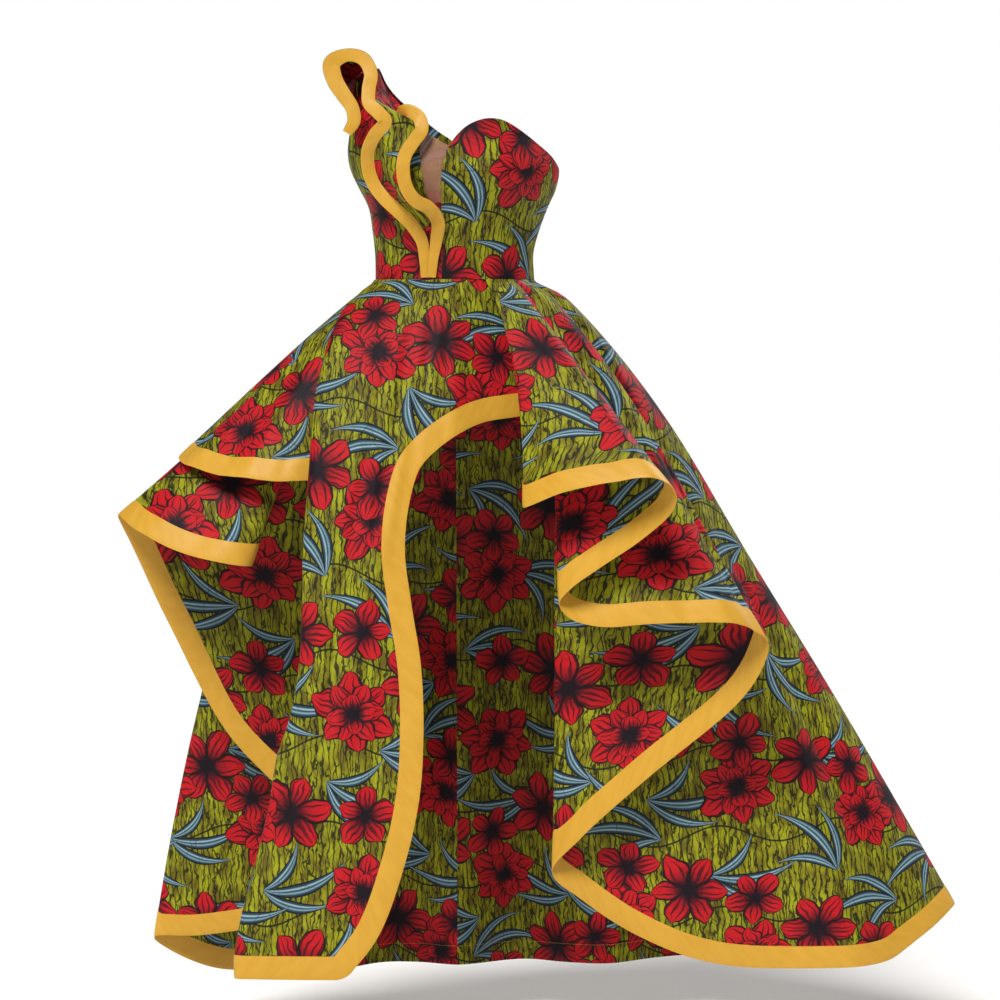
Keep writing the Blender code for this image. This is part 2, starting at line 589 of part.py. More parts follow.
def front_normals(x, z, edge_x):
    """Normals of the front panel's surface, shared by the panel and its binding."""
    small = 1e-4
    over = front_points(x + small, z, edge_x) - front_points(x - small, z, edge_x)
    down = front_points(x, z + small, edge_x) - front_points(x, z - small, edge_x)
    return unit(np.cross(over, down))


def add_front_panel(cloths):
    print_cloth, binding_cloth = cloths
    table = np.array(FRONT_PANEL)
    edge_x = table[:, :1]
    shares = np.concatenate([[0.0, 0.03, 0.06], np.linspace(0.13, 1.0, FRONT_COLUMNS)])[None, :]
    x = table[:, 0:1] + (table[:, 2:3] - table[:, 0:1]) * shares
    z = table[:, 1:2] + (table[:, 3:4] - table[:, 1:2]) * shares
    add_wall("front_panel", front_points(x, z, edge_x), front_normals(x, z, edge_x), print_cloth)

    bound = np.stack([x[BOUND_ROW:, -1], z[BOUND_ROW:, -1]], axis=1)
    hem = np.stack([x[-1, -2::-1], z[-1, -2::-1]], axis=1)
    path = np.concatenate([bound, hem])
    along = unit(np.gradient(path, axis=0))
    outward = np.stack([-along[:, 1], along[:, 0]], axis=1)
    reach = np.array([SEAM, BAND / 2, BAND])[None, :, None]
    flat = path[:, None] + outward[:, None] * reach
    place = (flat[..., 0], flat[..., 1], np.full(flat.shape[:2], edge_x[-1, 0]))
    add_wall("front_panel_binding", front_points(*place), front_normals(*place), binding_cloth)


# ---- The gown -------------------------------------------------------------------------------
def build():
    for thing in list(bpy.data.objects):
        bpy.data.objects.remove(thing, do_unlink=True)
    print_cloth = make_material("wax_print_cotton", (0.42, 0.22, 0.06), 0.62)
    binding_cloth = make_material("yellow_bias_binding", (0.82, 0.46, 0.06), 0.58)
    mesh_cloth = make_material("nude_stretch_mesh", (0.42, 0.22, 0.14), 0.70, 0.6)
    cloths = (print_cloth, binding_cloth)
    add_bodice(print_cloth, mesh_cloth)
    add_ruffle(print_cloth, binding_cloth)
    add_overskirt(cloths)
    add_flounce(cloths)
    add_front_panel(cloths)


build()
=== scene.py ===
# %% [markdown]
# # A one-shoulder ball gown in wax print cotton
# The gown has a fitted bodice with one strap, a sheer insert in its plunge, and a rippled ruffle
# that climbs from the waist to the shoulder.  Below the waist hang a long front panel, a hip
# flounce and a wide circular overskirt, and every free edge is bound in yellow.
#
# The frame holds the gown's solids, which fix every size.  Here each of them gets its cloth: a
# thin shell on the same curves, with a printed, woven finish.

# %% Load the frame
import functools
import math

import bpy
import numpy as np
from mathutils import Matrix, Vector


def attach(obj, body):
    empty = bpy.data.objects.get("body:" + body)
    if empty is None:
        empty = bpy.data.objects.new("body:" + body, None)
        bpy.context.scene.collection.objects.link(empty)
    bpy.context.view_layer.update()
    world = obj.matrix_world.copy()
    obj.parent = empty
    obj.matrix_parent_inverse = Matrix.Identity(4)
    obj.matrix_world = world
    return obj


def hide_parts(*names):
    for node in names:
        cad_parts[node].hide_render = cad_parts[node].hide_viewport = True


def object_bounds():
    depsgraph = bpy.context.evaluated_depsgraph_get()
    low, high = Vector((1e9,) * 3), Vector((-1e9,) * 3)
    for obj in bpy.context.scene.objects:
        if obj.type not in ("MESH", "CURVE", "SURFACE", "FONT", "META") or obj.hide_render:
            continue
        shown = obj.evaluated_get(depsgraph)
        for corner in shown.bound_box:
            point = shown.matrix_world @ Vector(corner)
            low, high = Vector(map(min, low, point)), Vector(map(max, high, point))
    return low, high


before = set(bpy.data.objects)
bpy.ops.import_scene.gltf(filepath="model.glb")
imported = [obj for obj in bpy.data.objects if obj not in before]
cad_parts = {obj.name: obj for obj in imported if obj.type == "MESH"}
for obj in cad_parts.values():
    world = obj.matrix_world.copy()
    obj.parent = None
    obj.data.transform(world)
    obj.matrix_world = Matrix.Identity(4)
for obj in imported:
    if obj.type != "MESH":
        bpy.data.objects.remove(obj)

cad_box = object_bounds()
print("solids:", len(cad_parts), "box:", [list(corner) for corner in cad_box])

# %% [markdown]
# ## The camera
# A full-length fashion picture is taken from far away with a long lens, level with the hips, so
# that the hem isn't swollen by perspective.  Blender's camera looks along its own -Z, so a turn of
# 90 degrees about X makes it look along +Y, and 2 degrees less tips it slightly down.
#
# Blender keeps an object's place apart from its data, such as a mesh, a lamp or a camera.  One
# helper makes the object for any of them and puts it in the scene.

# %% Camera
AIM = (0.07425, 0.0, -0.363)      # what the middle of the picture looks at
DISTANCE = 7.0
TIP = math.radians(2.0)
PICTURE_WIDTH = 1.65              # metres that fit across the picture at the gown
SENSOR_WIDTH = 36.0               # millimetres, as in a full-frame camera


def put_in_scene(name, data):
    """Makes the object for a mesh, a lamp or a camera and puts it in the scene."""
    made = bpy.data.objects.new(name, data)
    bpy.context.scene.collection.objects.link(made)
    return made


camera = bpy.data.cameras.new("studio_camera")
camera.sensor_width = SENSOR_WIDTH
camera.lens = SENSOR_WIDTH * DISTANCE / PICTURE_WIDTH
camera_object = put_in_scene("studio_camera", camera)
camera_object.location = (AIM[0], AIM[1] - DISTANCE * math.cos(TIP),
                          AIM[2] + DISTANCE * math.sin(TIP))
camera_object.rotation_euler = (math.radians(90.0) - TIP, 0.0, 0.0)
bpy.context.scene.camera = camera_object
print("lens", round(camera.lens, 1), "mm")

# %% [markdown]
# ## Sizes of the cloth
# A cut panel is a single layer of cotton.  It could be a plane with a Solidify modifier, but its
# edges must carry their own pattern, so each shell is built as one closed skin around a grid of
# points, a little thicker than real cotton so that its edges catch the light.

# %% Sizes
CLOTH = 0.0010          # thickness of a printed panel
BODICE_CLOTH = 0.0016   # the bodice is stiffened, so its wall is thicker
BAND = 0.037            # width of the bias binding on the skirt's free edges
RUFFLE_BAND = 0.022     # and on the neckline ruffle
# The waist seam is an oval: half its width, and how far it reaches forward and back.
WAIST_SIDE = 0.130
WAIST_FRONT = 0.100
WAIST_BACK = 0.085
girth = math.pi * (WAIST_SIDE + (WAIST_FRONT + WAIST_BACK) / 2)
print("cloth", CLOTH * 1000, "mm, binding", BAND * 1000, "mm, waist about", round(girth, 2), "m")

# %% [markdown]
# ## Curves and shells
# Every edge of the gown is a smooth curve through a few named points.  Blender's curve objects
# could draw them, but a panel needs the same curve read at many places at once, so a short
# function does it with arrays.

# %% Curve helpers
def spline(knots, values, at):
    """A smooth curve through the rows of values, read at the places given by at."""
    knots = np.asarray(knots, float)
    values = np.asarray(values, float)
    at = np.clip(np.asarray(at, float), knots[0], knots[-1])
    if values.ndim == 1:
        return spline(knots, values[:, None], at)[..., 0]
    steps = np.diff(knots)[:, None]
    slopes = np.diff(values, axis=0) / steps
    tangents = np.empty_like(values)
    tangents[0], tangents[-1] = slopes[0], slopes[-1]
    tangents[1:-1] = (slopes[:-1] * steps[1:] + slopes[1:] * steps[:-1]) / (steps[1:] + steps[:-1])
    span = np.clip(np.searchsorted(knots, at, side="right") - 1, 0, len(knots) - 2)
    width = steps[span, 0][..., None]
    t = (at - knots[span])[..., None] / width
    start, end = values[span], values[span + 1]
    lean_in, lean_out = tangents[span] * width, tangents[span + 1] * width
    return ((2 * t**3 - 3 * t**2 + 1) * start + (t**3 - 2 * t**2 + t) * lean_in
            + (3 * t**2 - 2 * t**3) * end + (t**3 - t**2) * lean_out)


def path_knots(points):
    """Knots that keep a smooth curve through uneven points free of loops."""
    lengths = np.linalg.norm(np.diff(np.asarray(points, float), axis=0), axis=1)
    return np.concatenate([[0.0], np.cumsum(np.sqrt(lengths))])


def unit(vectors):
    """Vectors at a length of one."""
    return vectors / np.maximum(np.linalg.norm(vectors, axis=-1, keepdims=True), 1e-12)


def grid_normals(points):
    """Unit normals of a grid of points, across its rows and columns."""
    return unit(np.cross(np.gradient(points, axis=0), np.gradient(points, axis=1)))


def length_along(points):
    """Distance from the first of a row of points to each of them."""
    steps = np.linalg.norm(np.diff(points, axis=0), axis=1)
    return np.concatenate([[0.0], np.cumsum(steps)])


print("halfway up a smooth step:", spline([0, 1, 2, 3], [0.0, 0.0, 1.0, 1.0], 1.5))

# %% [markdown]
# ### Laying a panel flat
# A print is only believable if it keeps its size on every part of the cloth, so each panel needs
# a flat pattern, as a dressmaker's does.  Blender's own Unwrap would make one, but it leaves the
# grain at any angle.  Here the pattern is solved so that every step on the cloth keeps its length.

# %% Flat patterns
SOLVER_STEPS = (500, 160, 160, 160)   # most steps in each pass; the turns are fitted between passes
SOLVED = 1e-11          # a pass ends when the pull that is left, squared, adds up to no more
SHORT_STEP = 0.002      # metres added to each step, so that the shortest don't rule the others


def lay_flat(points, grain):
    """Flat pattern of a grid of points in metres; grain is the angle of its threads, in radians."""
    normals = grid_normals(points)
    level = unit(np.cross([0.0, 0.0, 1.0], normals) + 1e-9)
    level *= np.sign(np.sum(level * np.gradient(points, axis=1)))
    fall = np.cross(level, normals)
    fall *= np.sign(np.sum(fall * [0.0, 0.0, 1.0]))

    def local_steps(step, first, second):
        """Steps on the cloth as complex numbers, level across it and up it, at full length."""
        across = np.sum(step * (level[first] + level[second]) / 2, axis=-1)
        up = np.sum(step * (fall[first] + fall[second]) / 2, axis=-1)
        ways = across + 1j * up
        return ways / np.maximum(abs(ways), 1e-12) * np.linalg.norm(step, axis=-1)

    upper, lower = np.s_[:-1, :], np.s_[1:, :]
    left, right = np.s_[:, :-1], np.s_[:, 1:]
    down = local_steps(np.diff(points, axis=0), upper, lower)
    over = local_steps(np.diff(points, axis=1), left, right)
    weight_down, weight_over = 1.0 / (abs(down) + SHORT_STEP), 1.0 / (abs(over) + SHORT_STEP)

    def gather(ways_down, ways_over):
        """What the steps beside each point ask of it, added up."""
        total = np.zeros(points.shape[:2], complex)
        total[lower] += ways_down
        total[upper] -= ways_down
        total[right] += ways_over
        total[left] -= ways_over
        return total

    turn = np.exp(1j * np.broadcast_to(grain, points.shape[:2]))
    pattern = np.zeros(points.shape[:2], complex)
    for most in SOLVER_STEPS:
        wanted_down = down * (turn[upper] + turn[lower]) / 2
        wanted_over = over * (turn[left] + turn[right]) / 2
        rest = gather(weight_down * (wanted_down - np.diff(pattern, axis=0)),
                      weight_over * (wanted_over - np.diff(pattern, axis=1)))
        way = rest.copy()
        size = np.sum(abs(rest) ** 2)
        for _ in range(most):
            pulled = gather(weight_down * np.diff(way, axis=0), weight_over * np.diff(way, axis=1))
            share = size / max(np.sum((way.conj() * pulled).real), 1e-30)
            pattern += share * way
            rest -= share * pulled
            new_size = np.sum(abs(rest) ** 2)
            way = rest + way * (new_size / size)
            size = new_size
            if size < SOLVED:
                break
        fit = np.zeros(points.shape[:2], complex)
        for near, far, ways, axis in ((upper, lower, down, 0), (left, right, over, 1)):
            kept = ways.conj() * np.diff(pattern, axis=axis)
            fit[near] += kept
            fit[far] += kept
        turn = fit / np.maximum(abs(fit), 1e-15)
    pattern = np.stack([pattern.real, pattern.imag], axis=-1)
    return pattern - pattern.reshape(-1, 2).mean(axis=0)


bearing, level = np.meshgrid(np.linspace(0.0, math.pi / 2, 13), np.linspace(0.3, 0.0, 7))
tube = lay_flat(np.stack([np.sin(bearing), -np.cos(bearing), level], axis=-1), 0.0)
print("a quarter tube with a radius of 1 m lies", np.ptp(tube[..., 0]).round(3), "m wide")

# %% [markdown]
# ### Laying out and measuring
# The pieces of a print are laid out on the cloth before they are cut, so that the print stands
# upright on the wearer.  One function finds the turn that stands a piece's grain upright for
# someone who faces it, and another measures what has to be cut.

# %% Layout
def upright_turn(points, pattern):
    """Turn of a flat pattern, as a complex number, that stands its print upright as it is seen."""
    laid = pattern[..., 0] + 1j * pattern[..., 1]
    over, down = np.gradient(points, axis=1), np.gradient(points, axis=0)
    way = np.gradient(laid, axis=0) * over[..., 0] - np.gradient(laid, axis=1) * down[..., 0]
    seen = over[..., 0] * down[..., 2] - over[..., 2] * down[..., 0]
    total = np.sum(way / np.maximum(abs(way), 1e-12) * seen)
    return 1j * total.conj() / abs(total)


def flat_cut(pattern):
    """Width, length and area of a flat pattern, in metres and square metres."""
    spread = pattern.reshape(-1, 2).max(axis=0) - pattern.reshape(-1, 2).min(axis=0)
    a = pattern[1:, 1:] - pattern[:-1, :-1]
    b = pattern[1:, :-1] - pattern[:-1, 1:]
    area = 0.5 * abs(np.sum(a[..., 0] * b[..., 1] - a[..., 1] * b[..., 0]))
    return float(spread[0]), float(spread[1]), float(area)


print("its width, length and area:", [round(size, 3) for size in flat_cut(tube)])

# %% [markdown]
# ### One closed shell
# The grid gets an outer and an inner skin, half the thickness to each side, and a rim that closes
# them.  The rim and both skins share the flat pattern, stored as a UV map in metres, so a motif
# 120 mm wide in the material is 120 mm wide on the cloth.  Where a piece is joined from gores, each
# strip between two columns of the grid can turn its print by its own angle.
#
# A second helper puts each finished piece in place: it rides on the gown's root and takes its
# solid's place, which it hides.

# %% Shell helper
CRISP_EDGE = math.radians(62)   # a bend sharper than this, such as the rim's, isn't smoothed over


def make_shell(name, points, normals, half, pattern, material, turns=None):
    """Turns a grid of points into one closed skin of cloth with its flat pattern as a UV map."""
    rows, columns = points.shape[:2]
    half = np.broadcast_to(half, (rows, columns))[..., None]
    corners = np.concatenate([(points + normals * half).reshape(-1, 3),
                              (points - normals * half).reshape(-1, 3)])
    index = np.arange(rows * columns).reshape(rows, columns)
    a, b = index[:-1, :-1].ravel(), index[1:, :-1].ravel()
    c, d = index[1:, 1:].ravel(), index[:-1, 1:].ravel()
    back = rows * columns
    rim = np.concatenate([index[:, 0], index[-1, 1:], index[-2::-1, -1], index[0, -2:0:-1]])
    after = np.roll(rim, -1)
    faces = np.concatenate([
        np.stack([a, b, c, d], axis=1),
        np.stack([a, d, c, b], axis=1) + back,
        np.stack([rim, rim + back, after + back, after], axis=1),
    ])
    a, b, c, d = np.moveaxis(corners[faces], 1, 0)
    volume = np.sum(np.cross(c - a, d - b) * a)
    if volume < 0:
        faces = faces[:, ::-1]
    mesh = bpy.data.meshes.new(name)
    mesh.from_pydata(corners.tolist(), [], faces.tolist())
    mesh.update()
    spots = (pattern.reshape(-1, 2) @ [1, 1j])[faces % back]
    if turns is not None:
        strips = np.tile(np.arange(columns - 1), 2 * (rows - 1))
        rim_strips = np.minimum(np.minimum(rim % columns, after % columns), columns - 2)
        spots *= turns[np.concatenate([strips, rim_strips])][:, None]
    spots = np.stack([spots.real, spots.imag], axis=-1).astype(np.float32)
    mesh.uv_layers.new(name="cloth").data.foreach_set("uv", spots.ravel())
    mesh.shade_smooth()
    mesh.set_sharp_from_angle(angle=CRISP_EDGE)
    mesh.materials.append(material)
    return put_in_scene(name, mesh)


def across_pattern(points):
    """Flat pattern of a narrow band: along it, and across it."""
    middle = length_along(points[:, points.shape[1] // 2])
    width = np.array([length_along(row)[-1] for row in points])
    share = np.linspace(0.0, 1.0, points.shape[1])
    return np.stack([np.broadcast_to(middle[:, None], points.shape[:2]),
                     width[:, None] * share[None, :]], axis=-1)


def hand_in(piece, node):
    """Puts a sheet of cloth on the gown's root in the place of its solid, which it hides."""
    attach(piece, "root")
    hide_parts(node)

# %% [markdown]
# ## Materials
# Real wax print starts as plain cotton.  Hot wax or resin is printed on both faces, the cloth is
# dyed, and the resin is cracked before a second dye, which leaves fine dark veins in the ground.
# The colours come through to the back, so both faces look almost alike.
#
# One function turns a hex colour into the linear values that the shader wants, and one adds a
# node with its settings and links.

# %% Colour and node helpers
def colour(hex_code):
    """Linear red, green, blue and alpha of an sRGB hex colour."""
    parts = [int(hex_code[i:i + 2], 16) / 255 for i in (1, 3, 5)]
    linear = [p / 12.92 if p <= 0.04045 else ((p + 0.055) / 1.055) ** 2.4 for p in parts]
    return (*linear, 1.0)


# A Mix node has sockets for numbers, for vectors and for colours.  These are its two inputs for
# colours, and the settings that make it mix them and read its colour output.
FIRST, SECOND = 6, 7
OF_COLOURS = {"data_type": "RGBA", "output": 2}


def add_node(tree, family, kind, *values, sockets=None, output=0, **settings):
    """Adds a node, sets its properties and inputs, and returns one of its outputs.

    Blender's own name for the node is its family, such as ShaderNode, and then its kind.
    """
    made = tree.nodes.new(family + kind)
    for key, value in settings.items():
        setattr(made, key, value)
    for key, value in list(enumerate(values)) + list((sockets or {}).items()):
        if value is None:
            continue
        if isinstance(value, bpy.types.NodeSocket):
            tree.links.new(value, made.inputs[key])
        else:
            made.inputs[key].default_value = value
    return made.outputs[output] if len(made.outputs) else made


def new_material(name):
    """An empty node material, its tree and a helper that adds nodes to it."""
    material = bpy.data.materials.new(name)
    material.use_nodes = True
    tree = material.node_tree
    tree.nodes.clear()
    return material, tree, functools.partial(add_node, tree, "ShaderNode")


print("middle grey in linear light:", round(colour("#808080")[0], 3))

# %% [markdown]
# ### The cracked ground
# The olive ground is crossed by dark veins that run mostly along the cloth, because the resin
# cracks as the cloth is pulled through rollers.  Each set of veins is a row of stripes that a noise
# pushes sideways, so they wander, and where two sets meet they merge and part like real cracks.

# %% Cracked ground
GROUND_LIGHT = "#989914"
GROUND_DEEP = "#645A0A"
CRACK = "#161A06"
VEINS = [
    # spacing, how far it wanders in spacings, thinnest and thickest half-width, seed
    (0.0098, 2.0, 0.0003, 0.0008, 0.0), (0.0112, 2.6, 0.0001, 0.0009, 31.0),
]
WANDER = (70.0, 34.0, 0.0)   # waves a metre: a vein swerves every 14 mm across, 29 mm along
VEIN_EDGE = 0.0009           # metres over which a vein's edge bleeds into the ground
VEIN_INK = 0.92              # how much of the dark dye took in a vein
VEIN_SWELLS = (0.36, 0.60)   # the noise's values at a vein's thinnest and thickest
CLOUDS = (0.38, 0.62)        # and where the ground is deepest and lightest


def draw_ground(add, cloth):
    """Colour of the olive ground with its dark veins."""
    x = add("SeparateXYZ", cloth)
    ink = None
    for spacing, wander, thin, thick, seed in VEINS:
        moved = add("VectorMath", cloth, WANDER, (seed, seed, 0.0), operation="MULTIPLY_ADD")
        noise = add("TexNoise", moved, sockets={"Scale": 1.0, "Detail": 2.0})
        pushed = add("Math", noise, wander, operation="MULTIPLY")
        pushed = add("Math", x, 1 / spacing, pushed, operation="MULTIPLY_ADD")
        apart = add("Math", pushed, 0.5, operation="PINGPONG")
        fade = add("TexNoise", moved, sockets={"Scale": 1.3, "Detail": 1.0})
        half_width = add("MapRange", fade, *VEIN_SWELLS, thin / spacing, thick / spacing)
        line = add("Math", apart, half_width, operation="SUBTRACT")
        line = add("MapRange", line, 0.0, VEIN_EDGE / spacing, VEIN_INK, 0.0)
        ink = line if ink is None else add("Math", ink, line, operation="MAXIMUM")
    cloud = add("TexNoise", moved, sockets={"Scale": 0.8, "Detail": 3.0})
    cloud = add("MapRange", cloud, *CLOUDS, 0.0, 1.0)
    ground = add("Mix", cloud, sockets={FIRST: colour(GROUND_DEEP), SECOND: colour(GROUND_LIGHT)},
                 **OF_COLOURS)
    return add("Mix", ink, sockets={FIRST: ground, SECOND: colour(CRACK)}, **OF_COLOURS)


print("veins lie", [round(vein[0] * 1000, 1) for vein in VEINS], "mm apart")

# %% [markdown]
# ### Where the motifs stand
# The motifs repeat on a half-drop lattice, the usual way to lay out a printed cloth, and each
# column climbs a little, so the eye finds no rows.  The cloth's own coordinates are cut into
# slanting cells, and each cell gets its own random turn and a small shift, so no two motifs face
# the same way.

# %% Motif cells
REPEAT = (0.196, 0.272)      # width and height of the print's repeat, in metres
CLIMB = 0.35                 # how much each column climbs, as a share of its distance
STRAY_UP = 2.2               # how much farther a motif strays up or down than sideways


def climbed(add, place, climb):
    """A place moved up by a share of its distance across."""
    rise = add("SeparateXYZ", place)
    rise = add("Math", rise, climb, operation="MULTIPLY")
    rise = add("CombineXYZ", None, rise)
    return add("VectorMath", place, rise, operation="ADD")


def motif_cell(add, cloth, shift, seed, stray):
    """Place within a motif's own cell, from its middle, and a random colour for that cell."""
    moved = add("VectorMath", cloth, (-shift[0], -shift[1], 0.0), operation="ADD")
    moved = climbed(add, moved, CLIMB)
    scaled = add("VectorMath", moved, (1 / REPEAT[0], 1 / REPEAT[1], 0.0), operation="MULTIPLY")
    cell = add("VectorMath", scaled, operation="FLOOR")
    inside = add("VectorMath", scaled, cell, operation="SUBTRACT")
    inside = add("VectorMath", inside, (0.5, 0.5, 0.0), operation="SUBTRACT")
    inside = add("VectorMath", inside, (*REPEAT, 0.0), operation="MULTIPLY")
    inside = climbed(add, inside, -CLIMB)
    named = add("VectorMath", cell, (seed, seed * 0.37, seed), operation="ADD")
    chance = add("TexWhiteNoise", named, noise_dimensions="3D", output=1)
    step = add("VectorMath", chance, (0.5, 0.5, 0.5), operation="SUBTRACT")
    step = add("VectorMath", step, (stray, STRAY_UP * stray, 0.0), operation="MULTIPLY")
    return add("VectorMath", inside, step, operation="ADD"), chance


print("one repeat of the print:", [round(size * 1000) for size in REPEAT], "mm")

# %% [markdown]
# ### Blossoms
# A blossom is a ring of rounded petals around a dark heart.  Drawing each petal would take many
# nodes, so the angle around the heart is folded: every petal falls on the same one, and a single
# egg-shaped test draws them all.  The same test gives the dark outline and the shading, and thin
# lines that fan out of the heart are the veins.

# %% Petals
PETAL_LIGHT = "#BA121B"
PETAL_DEEP = "#4A0713"
OUTLINE = "#1E0408"
PETAL_SIZES = (0.84, 1.08)   # the smallest and the largest petal, as shares of their ring's radius
PETAL_ROOT = -0.16           # the egg shape starts this far behind the heart's middle
EGG = (1.6, 0.58)            # powers on the egg's sine: fuller toward the tip, and rounder
BREADTH = 1.84               # a petal's half-width, times the number of petals in its ring
OUTLINE_FADE = (0.032, 0.072)   # the dark outline is full up to the first, gone at the second
DEEP_FADE = (0.18, 0.66)     # and so is the deep red round the heart
VEIN_STEP = 0.24             # half the distance between two veins, in half-widths of the petal
VEIN_FADE = (0.90, 0.10)     # how wide a vein is at the heart, and close to the tip


def draw_petals(add, below, spot, turn, radius, petals, chance):
    """Paints one ring of petals over the colour below."""
    x = add("SeparateXYZ", spot)
    y = x.node.outputs[1]
    angle = add("Math", y, x, operation="ARCTAN2")
    angle = add("Math", angle, turn, operation="ADD")
    reach = add("VectorMath", spot, operation="LENGTH", output=1)
    turns = add("Math", angle, petals / math.tau, operation="MULTIPLY")
    number = add("Math", turns, operation="FLOOR")
    lean = add("Math", turns, number, operation="SUBTRACT")
    lean = add("Math", lean, 0.5, operation="SUBTRACT")
    lean = add("Math", lean, math.tau / petals, operation="MULTIPLY")
    petal_name = add("Math", number, petals, operation="FLOORED_MODULO")
    petal_name = add("VectorMath", chance, sockets={1: petal_name}, operation="ADD")
    own = add("TexWhiteNoise", petal_name, noise_dimensions="3D")
    size = add("MapRange", own, 0.0, 1.0, *(share * radius for share in PETAL_SIZES))
    reach = add("Math", reach, size, operation="DIVIDE")
    along = add("Math", lean, operation="COSINE")
    along = add("Math", along, reach, operation="MULTIPLY")
    side = add("Math", lean, operation="SINE")
    side = add("Math", side, reach, operation="MULTIPLY")
    side = add("Math", side, operation="ABSOLUTE")
    belly = add("MapRange", along, PETAL_ROOT, 1.0, 0.0, 1.0)
    belly = add("Math", belly, EGG[0], operation="POWER")
    belly = add("Math", belly, math.pi, operation="MULTIPLY")
    belly = add("Math", belly, operation="SINE")
    belly = add("Math", belly, 0.0001, operation="MAXIMUM")
    belly = add("Math", belly, EGG[1], operation="POWER")
    belly = add("Math", belly, BREADTH / petals, operation="MULTIPLY")
    gap = add("Math", belly, side, operation="SUBTRACT")
    shape = add("MapRange", gap, -0.012, 0.008, 0.0, 1.0)
    neighbour = add("Math", along, math.tan(math.pi / petals), operation="MULTIPLY")
    neighbour = add("Math", neighbour, side, operation="SUBTRACT")
    rim = add("Math", gap, neighbour, operation="MINIMUM")
    rim = add("MapRange", rim, *OUTLINE_FADE, 1.0, 0.0)
    deep = add("MapRange", along, *DEEP_FADE, 1.0, 0.0)
    across = add("Math", side, belly, operation="DIVIDE")
    stroke = add("Math", own, 0.8, operation="MULTIPLY")
    stroke = add("Math", across, stroke, operation="ADD")
    stroke = add("Math", stroke, 1 / VEIN_STEP, operation="MULTIPLY")
    stroke = add("Math", stroke, 1.0, operation="PINGPONG")
    fading = add("MapRange", along, 0.20, 0.95, *VEIN_FADE)
    stroke = add("Math", stroke, fading, operation="DIVIDE")
    stroke = add("MapRange", stroke, 0.55, 1.0, 0.95, 0.0)
    deep = add("Math", deep, stroke, 0.0, operation="MAXIMUM")
    red = add("Mix", deep, sockets={FIRST: colour(PETAL_LIGHT), SECOND: colour(PETAL_DEEP)},
              **OF_COLOURS)
    red = add("Mix", rim, sockets={FIRST: red, SECOND: colour(OUTLINE)}, **OF_COLOURS)
    return add("Mix", shape, sockets={FIRST: below, SECOND: red}, **OF_COLOURS)


print("petals of a ring differ in size from", PETAL_SIZES[0], "to", PETAL_SIZES[1])

# %% [markdown]
# ### From petals to a blossom
# A single blossom is one ring of petals, and a double one has smaller rings on top.  The block
# that printed them was cut by hand, so a noise bends the outlines a little.  Last comes the dark
# heart, whose edge a finer noise frays.

# %% Blossoms
HEART = "#120611"
BLOSSOM_STRAY = 0.030        # metres a blossom may stand away from the middle of its cell
WAVER = (42.0, 0.013)        # the petals' edges waver every 24 mm, by a few millimetres
HEART_SIZE = (0.15, 0.37)    # where the dark heart starts to fade and ends, in radii
HEART_FRAY = (190.0, 0.022)  # its edge frays every 5 mm, by a few millimetres


def draw_blossom(add, below, cloth, shift, seed, radius, rings):
    """Paints a blossom in each cell: rings of petals, then the dark heart."""
    spot, chance = motif_cell(add, cloth, shift, seed, BLOSSOM_STRAY)
    waver = add("TexNoise", cloth, sockets={"Scale": WAVER[0], "Detail": 1.0}, output=1)
    waver = add("VectorMath", waver, (0.5, 0.5, 0.5), operation="SUBTRACT")
    waver = add("VectorMath", waver, (WAVER[1], WAVER[1], 0.0), operation="MULTIPLY")
    spot = add("VectorMath", spot, waver, operation="ADD")
    spin = add("SeparateXYZ", chance, output=2)
    spin = add("Math", spin, math.tau, operation="MULTIPLY")
    painted = below
    for size, petals, turn in rings:
        turned = add("Math", spin, turn, operation="ADD")
        painted = draw_petals(add, painted, spot, turned, radius * size, petals, chance)
    reach = add("VectorMath", spot, operation="LENGTH", output=1)
    fray = add("TexNoise", cloth, sockets={"Scale": HEART_FRAY[0], "Detail": 2.0})
    fray = add("Math", fray, HEART_FRAY[1], -HEART_FRAY[1] / 2, operation="MULTIPLY_ADD")
    reach = add("Math", reach, fray, operation="ADD")
    heart = add("MapRange", reach, *(share * radius for share in HEART_SIZE), 1.0, 0.0)
    return add("Mix", heart, sockets={FIRST: painted, SECOND: colour(HEART)}, **OF_COLOURS)


print("a blossom's heart ends at", HEART_SIZE[1], "of its radius")

# %% [markdown]
# ### Leaf sprays
# Each spray is three curved blades from one joint.  A blade is a long lens shape on a bent line:
# the distance from that line, as a share of the blade's width there, gives its outline and the
# pale streaks that run along it.

# %% Leaf sprays
LEAF = "#3F6373"
LEAF_PALE = "#ACC4C8"
LEAF_EDGE = "#08131F"
SPRAY_REACH = 0.060      # distance from the joint of the blades to the middle of the spray
# The blades of one spray: their angle in degrees, and their length, bend and half-width.
BLADES = [
    (-34.0, 0.098, 0.66, 0.0090), (2.0, 0.142, 0.56, 0.0108), (31.0, 0.116, 0.60, 0.0098),
]
SPRAY_STRAY = 0.022      # metres a spray may stand away from the middle of its cell
SPRAY_SWING = 0.80       # radians it may lean to either side
BLADE_EDGE = (0.97, 1.06)  # half-widths from the middle line between which a blade ends
BLADE_RIM = (0.55, 0.78)   # and between which its dark outline begins
BLADE_ENDS = (0.01, 0.99)  # shares of its length between which it is painted
FULLEST = 0.80           # power that moves the fullest part of a blade toward its joint
STREAKS = 3.4            # dark lines lie 2 / 3.4 of the half-width apart, pale ones between them


